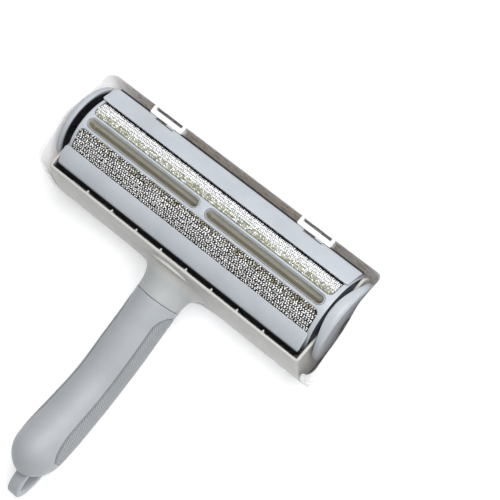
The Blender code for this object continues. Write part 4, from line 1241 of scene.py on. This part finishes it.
def hinge_block(side, word, white, shade):
    """White frame round a slot, with the pin bar along its inner side and a clip in the slot; the clip and a
    floor under it are painted dark as the slot's shade.
    """
    x = side * HINGE_X
    edge, half, slot_half = 0.35, 10.6, 9.0
    outer = rounded_box((x - half, HINGE_Y - 1.0), (x + half, 28.5), (0.6,) * 4)
    slot = rounded_box((x - slot_half - edge, 26.9 - edge), (x + slot_half + edge, 28.25 + edge),
                       (0.3,) * 4, 3)
    cheeks = upright(outer, [slot], steps(x - 10, x + 10, 3.0), [26.5], 6.2, edge, 58.9)
    pin = [(-10.2, 0.0), (-10.2, 1.0), (-9.9, 1.25), (9.9, 1.25), (10.2, 1.0), (10.2, 0.0)]
    bar = spun([(x + along, radius) for along, radius in pin], 0, 360, 28, 0.0)
    bmesh.ops.translate(bar, vec=(0.0, HINGE_Y, HINGE_Z + 0.35), verts=bar.verts)
    piece("hinge_frame_" + word, joined(cheeks, bar), "cover", white, ["cover_hinge_" + word])
    # Painted shade: the clip and the floor below it take the dark shade material.
    tab = rounded_box((x - 3.0, 27.1), (x + 2.6, 28.0), (0.25,) * 4, 3)
    base = rounded_box((x - 9.1, 26.7), (x + 9.1, 28.3), (0.2,) * 4, 2)
    clip = upright(tab, [], [x], [], 4.0, 0.2, 57.5)
    floor = upright(base, [], [x], [], 0.8, 0.1, 56.2)
    piece("hinge_clip_" + word, joined(clip, floor), "cover", shade)


# ---------------------------------------------------------------- handle

def handle_scale(y):
    if y > BULB_Y:
        return 1.0
    share = (BULB_Y - y) / (BULB_Y - HANDLE_END)
    return max(0.0, 1.0 - share**2) ** 0.60


def handle_skin(y, angle):
    scale = handle_scale(y)
    lean = JOINT_LEAN * min(1.0, max(0.0, (y + 112.0) / 50.0))
    rise = between(HANDLE_DEPTH, y) * scale * math.sin(angle)
    return Vector((between(HANDLE_WIDTH, y) * scale * math.cos(angle), y - lean * rise,
                   between(HANDLE_CENTRE, y) + rise))


def handle_y(v):
    """Station along the handle; past the bulb's start it eases to the tip."""
    if v >= BULB_Y:
        return v
    turn = min(0.5 * math.pi, (BULB_Y - v) / (BULB_Y - HANDLE_END))
    return BULB_Y + (HANDLE_END - BULB_Y) * math.sin(turn)


def handle_mapping(u, v, h):
    """u is the angle in degrees from +X towards +Z, v the station, h the height over the skin."""
    angle = math.radians(u)
    place = handle_skin(handle_y(v), angle)
    if abs(h) < 1e-7:
        return place
    if v < HANDLE_TIP + 0.05:
        return place + Vector((0.0, -h, 0.0))
    around = handle_skin(handle_y(v), angle + 0.01) - handle_skin(handle_y(v), angle - 0.01)
    along = handle_skin(handle_y(v - 0.05), angle) - handle_skin(handle_y(v + 0.05), angle)
    normal = around.cross(along).normalized()
    if normal.dot(place - Vector((0.0, place.y, between(HANDLE_CENTRE, handle_y(v))))) < 0:
        normal = -normal
    return place + normal * h


def panel_half_angle(y):
    """Half of the angle that a panel covers at a station, narrowing to a round nose and tail."""
    past = max(0.0, (y - PANEL_FRONT) / PANEL_NOSE, (PANEL_BACK - y) / PANEL_TAIL)
    return PANEL_ANGLE * math.sqrt(max(0.0, 1.0 - past**2))


def panel_outline(middle, grow):
    """Outline of a grip panel in (degrees, station), grown outwards by some millimetres."""
    ends = [PANEL_FRONT + PANEL_NOSE * math.cos(math.radians(a)) for a in range(0, 91, 10)]
    ends += [PANEL_FRONT - 16.0 * k for k in (1, 2, 3)]
    ends += [PANEL_BACK - 20.6 * math.sin(math.radians(a)) for a in range(0, 91, 10)]
    edge = [(y, panel_half_angle(y)) for y in ends]
    edge[0] = (edge[0][0], 0.0)
    points = []
    for k, (y, reach) in enumerate(edge):
        before, after = edge[max(0, k - 1)], edge[min(len(edge) - 1, k + 1)]
        radius = between(HANDLE_WIDTH, y)
        along = Vector((after[0] - before[0], math.radians(after[1] - before[1]) * radius)).normalized()
        if k == 0:
            along = Vector((0.0, 1.0))
        outward = grow if k < len(ends) / 2 else -grow
        points.append((reach + math.degrees(grow * abs(along.x) / radius), y + outward * abs(along.y)))
    right = [(middle + reach, y) for reach, y in points]
    left = [(middle - reach, y) for reach, y in reversed(points)]
    if points[0][0] < 0.5:
        left = left[:-1]
    return right + left


def handle_grip(material):
    """The sleeve, with an opening for each panel and a notch for the button underneath."""
    edge = 0.25
    start = JOINT_Y - JOINT_GAP - edge
    low, high, depth = 270.0 - 44.0, 270.0 + 44.0, -53.2
    notch = [(low, start), (low, depth), (high, depth), (high, start)]
    outer = [(90.0, start)] + notch + [(450.0, start), (450.0, HANDLE_TIP), (90.0, HANDLE_TIP)]
    holes = [panel_outline(middle, 0.42) for middle in (180.0, 360.0)]
    def seam(u, v):
        return abs(u - 90) < 0.01 or abs(u - 450) < 0.01 or v < HANDLE_TIP + 0.01
    bm = flat_to_handle(outer, holes, steps(90, 450, 6.0), steps(start, HANDLE_TIP, 2.6), 1.2, edge, seam)
    piece("handle_grip", bm, "frame", material, ["handle_sleeve"], sharp=50)


def flat_to_handle(outer, holes, u_lines, v_lines, thickness, edge, seam=None, lift=None):
    """A slab worked out in equal millimetres both ways, then laid on the handle."""
    def flat(loop):
        return [(u / GRIP_DEGREE, v) for u, v in loop]
    flat_seam = (lambda u, v: seam(u * GRIP_DEGREE, v)) if seam else None
    bm = slab(flat(outer), [flat(hole) for hole in holes], [u / GRIP_DEGREE for u in u_lines], v_lines,
              thickness, edge, 2, flat_seam, lift)
    if lift:
        heights = bm.verts.layers.float.new("knurl")
        for vert in bm.verts:
            vert[heights] = knurl_tone(*vert.co)
    return bent(bm, lambda u, v, h: handle_mapping(u * GRIP_DEGREE, v, h))


def knurl(u, v):
    """Height of the low diamonds at a point of the flat panel."""
    waves = 0.0
    for sign in (-1, 1):
        phase = ((u + sign * KNURL_SLANT * v) / KNURL_PITCH) % 1.0
        waves += 1.0 - abs(2.0 * phase - 1.0)
    return KNURL_HEIGHT * max(0.0, waves - 0.75)


def knurl_tone(u, v, height):
    """Height that the colour follows; where the diamonds have faded out it is the border's tone."""
    full = knurl(u, v)
    return height if full * 0.6 < height or full < 0.01 else KNURL_PLAIN


def grip_panels(material):
    edge, pitch, front, back, half = 0.22, 0.34, -52.2, -147.5, 10.2
    for middle, word in ((180.0, "left"), (360.0, "right")):
        def lift(u, v, middle=middle):
            reach = panel_half_angle(handle_y(v)) / GRIP_DEGREE - abs(u - middle / GRIP_DEGREE)
            ends = min(front - 0.2 - v, v - back + 0.5)
            return knurl(u, v) * smooth_step((min(reach, ends) - 0.7) / 0.5)
        u_lines = [(middle / GRIP_DEGREE + u) * GRIP_DEGREE for u in steps(-half, half, pitch)]
        v_lines = steps(front, back, pitch)
        bm = flat_to_handle(panel_outline(middle, -edge), [], u_lines, v_lines, 1.0, edge, None, lift)
        bmesh.ops.recalc_face_normals(bm, faces=bm.faces)
        piece("grip_pad_" + word, bm, "frame", material, ["grip_panel_" + word], sharp=70)


def hanging_loop(material):
    """An upright oval ring, 7 mm wide."""
    edge = 1.1
    turns = [2 * math.pi * k / 72 for k in range(72)]
    def ring(reach, height):
        return [(LOOP_Y + reach * math.cos(a), LOOP_Z + height * math.sin(a)) for a in turns]
    bm = slab(ring(15.1 - edge, 9.6 - edge), [ring(11.1 + edge, 5.6 + edge)], steps(-176, -145, 2.0),
              steps(6, 26, 2.0), 7.0, edge, 5)
    bent(bm, lambda u, v, h: Vector((3.5 + h, u, v)))
    piece("wrist_loop", bm, "frame", material, ["hanging_loop"])


# ---------------------------------------------------------------- stage

def camera():
    """The photograph's view, through a long lens."""
    data = bpy.data.cameras.new("camera")
    data.sensor_width = 36.0
    data.lens = 107.97
    data.clip_start = 0.01
    item = bpy.data.objects.new("camera", data)
    right = Vector((0.74880, 0.63407, -0.19300))
    up = Vector((-0.58108, 0.76810, 0.26900))
    turn = Matrix((right, up, right.cross(up))).transposed().to_4x4()
    item.matrix_world = Matrix.Translation((0.27017, -0.06845, 0.76970)) @ turn
    bpy.context.scene.collection.objects.link(item)
    bpy.context.scene.camera = item


def light(name, location, size, power):
    """A round area light that looks at the origin."""
    data = bpy.data.lights.new(name, "AREA")
    data.shape = "DISK"
    data.size = size
    data.energy = power
    item = bpy.data.objects.new(name, data)
    item.location = location
    item.rotation_euler = (-Vector(location)).to_track_quat("-Z", "Y").to_euler()
    bpy.context.scene.collection.objects.link(item)


def stage():
    """A pale floor that glows a little, one large soft light above and a dim even sky."""
    world = bpy.data.worlds.new("world")
    bpy.context.scene.world = world
    world.use_nodes = True
    background = world.node_tree.nodes["Background"]
    background.inputs["Color"].default_value = (0.97, 0.985, 1.0, 1.0)
    background.inputs["Strength"].default_value = 0.27
    light("key", (0.42, 0.27, 1.24), 1.1, 25.0)
    mesh = bpy.data.meshes.new("floor")
    mesh.from_pydata([(-4, -4, 0), (4, -4, 0), (4, 4, 0), (-4, 4, 0)], [], [(0, 1, 2, 3)])
    finish = Finish("floor_white", 0.8, 0.2)
    finish.colour(finish.ramp(finish.noise(6.0, 2.0), ((0.3, (0.90, 0.90, 0.90)), (0.7, (0.92, 0.92, 0.92)))))
    finish.shader.inputs["Emission Color"].default_value = (1.0, 1.0, 1.0, 1.0)
    finish.shader.inputs["Emission Strength"].default_value = 0.25
    mesh.materials.append(finish.material)
    floor = bpy.data.objects.new("floor", mesh)
    bpy.context.scene.collection.objects.link(floor)
    bpy.context.scene.view_settings.view_transform = "Standard"
    bpy.context.scene.view_settings.look = "None"


def finish_nodes(names, material):
    """Gives CAD nodes that stay in view their material."""
    for name in names:
        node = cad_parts[name]
        node.data.materials.clear()
        node.data.materials.append(material)


def build():
    camera()
    stage()
    plate = plastic("cool_plate", PLATE, 0.36).material
    lips = lip_plate()
    caps = cap_plate()
    white = plastic("hinge_white", WHITE, 0.30, grain=0.004, drift=0.012).material
    # Painted shade for the hinge slots: dark gray on the clips and the slot floors.
    shade = plastic("slot_shade_dark", (0.11, 0.115, 0.125), 0.45).material
    grip = soft_touch("grip_gray", (0.335, 0.352, 0.372), 0.50).material
    tread = plastic("tread_gray", (0.40, 0.42, 0.455), 0.40).material
    dark = plastic("dish_dark", (0.018, 0.019, 0.024), 0.30, drift=0.2).material
    steel = metal()
    bush = plastic("bush_white", (0.72, 0.72, 0.70), 0.35).material
    body_shell(shell_gray())
    front_lip(lips)
    rear_lip(lips)
    drum_skin(plate)
    olive = trough_olive()
    for side, word in ((-1, "left"), (1, "right")):
        drum_cap(side, word, caps)
        trough(SLOT_CENTRES[0] if side < 0 else SLOT_CENTRES[1], word, olive)
        wheel(side, word, tread, dark)
        hinge_block(side, word, white, shade)
    fabric()
    cover_shell(cover_white())
    handle_grip(grip)
    grip_panels(pad_gray())
    hanging_loop(grip)
    finish_nodes(["axle_left", "axle_right", "wheel_screw_left", "wheel_screw_right", "button_spring"], steel)
    finish_nodes(["bush_left", "bush_right"], bush)
    finish_nodes(["latch_catch"], white)
    finish_nodes(["release_button"], plate)
    finish_nodes(["handle_core"], dark)


build()
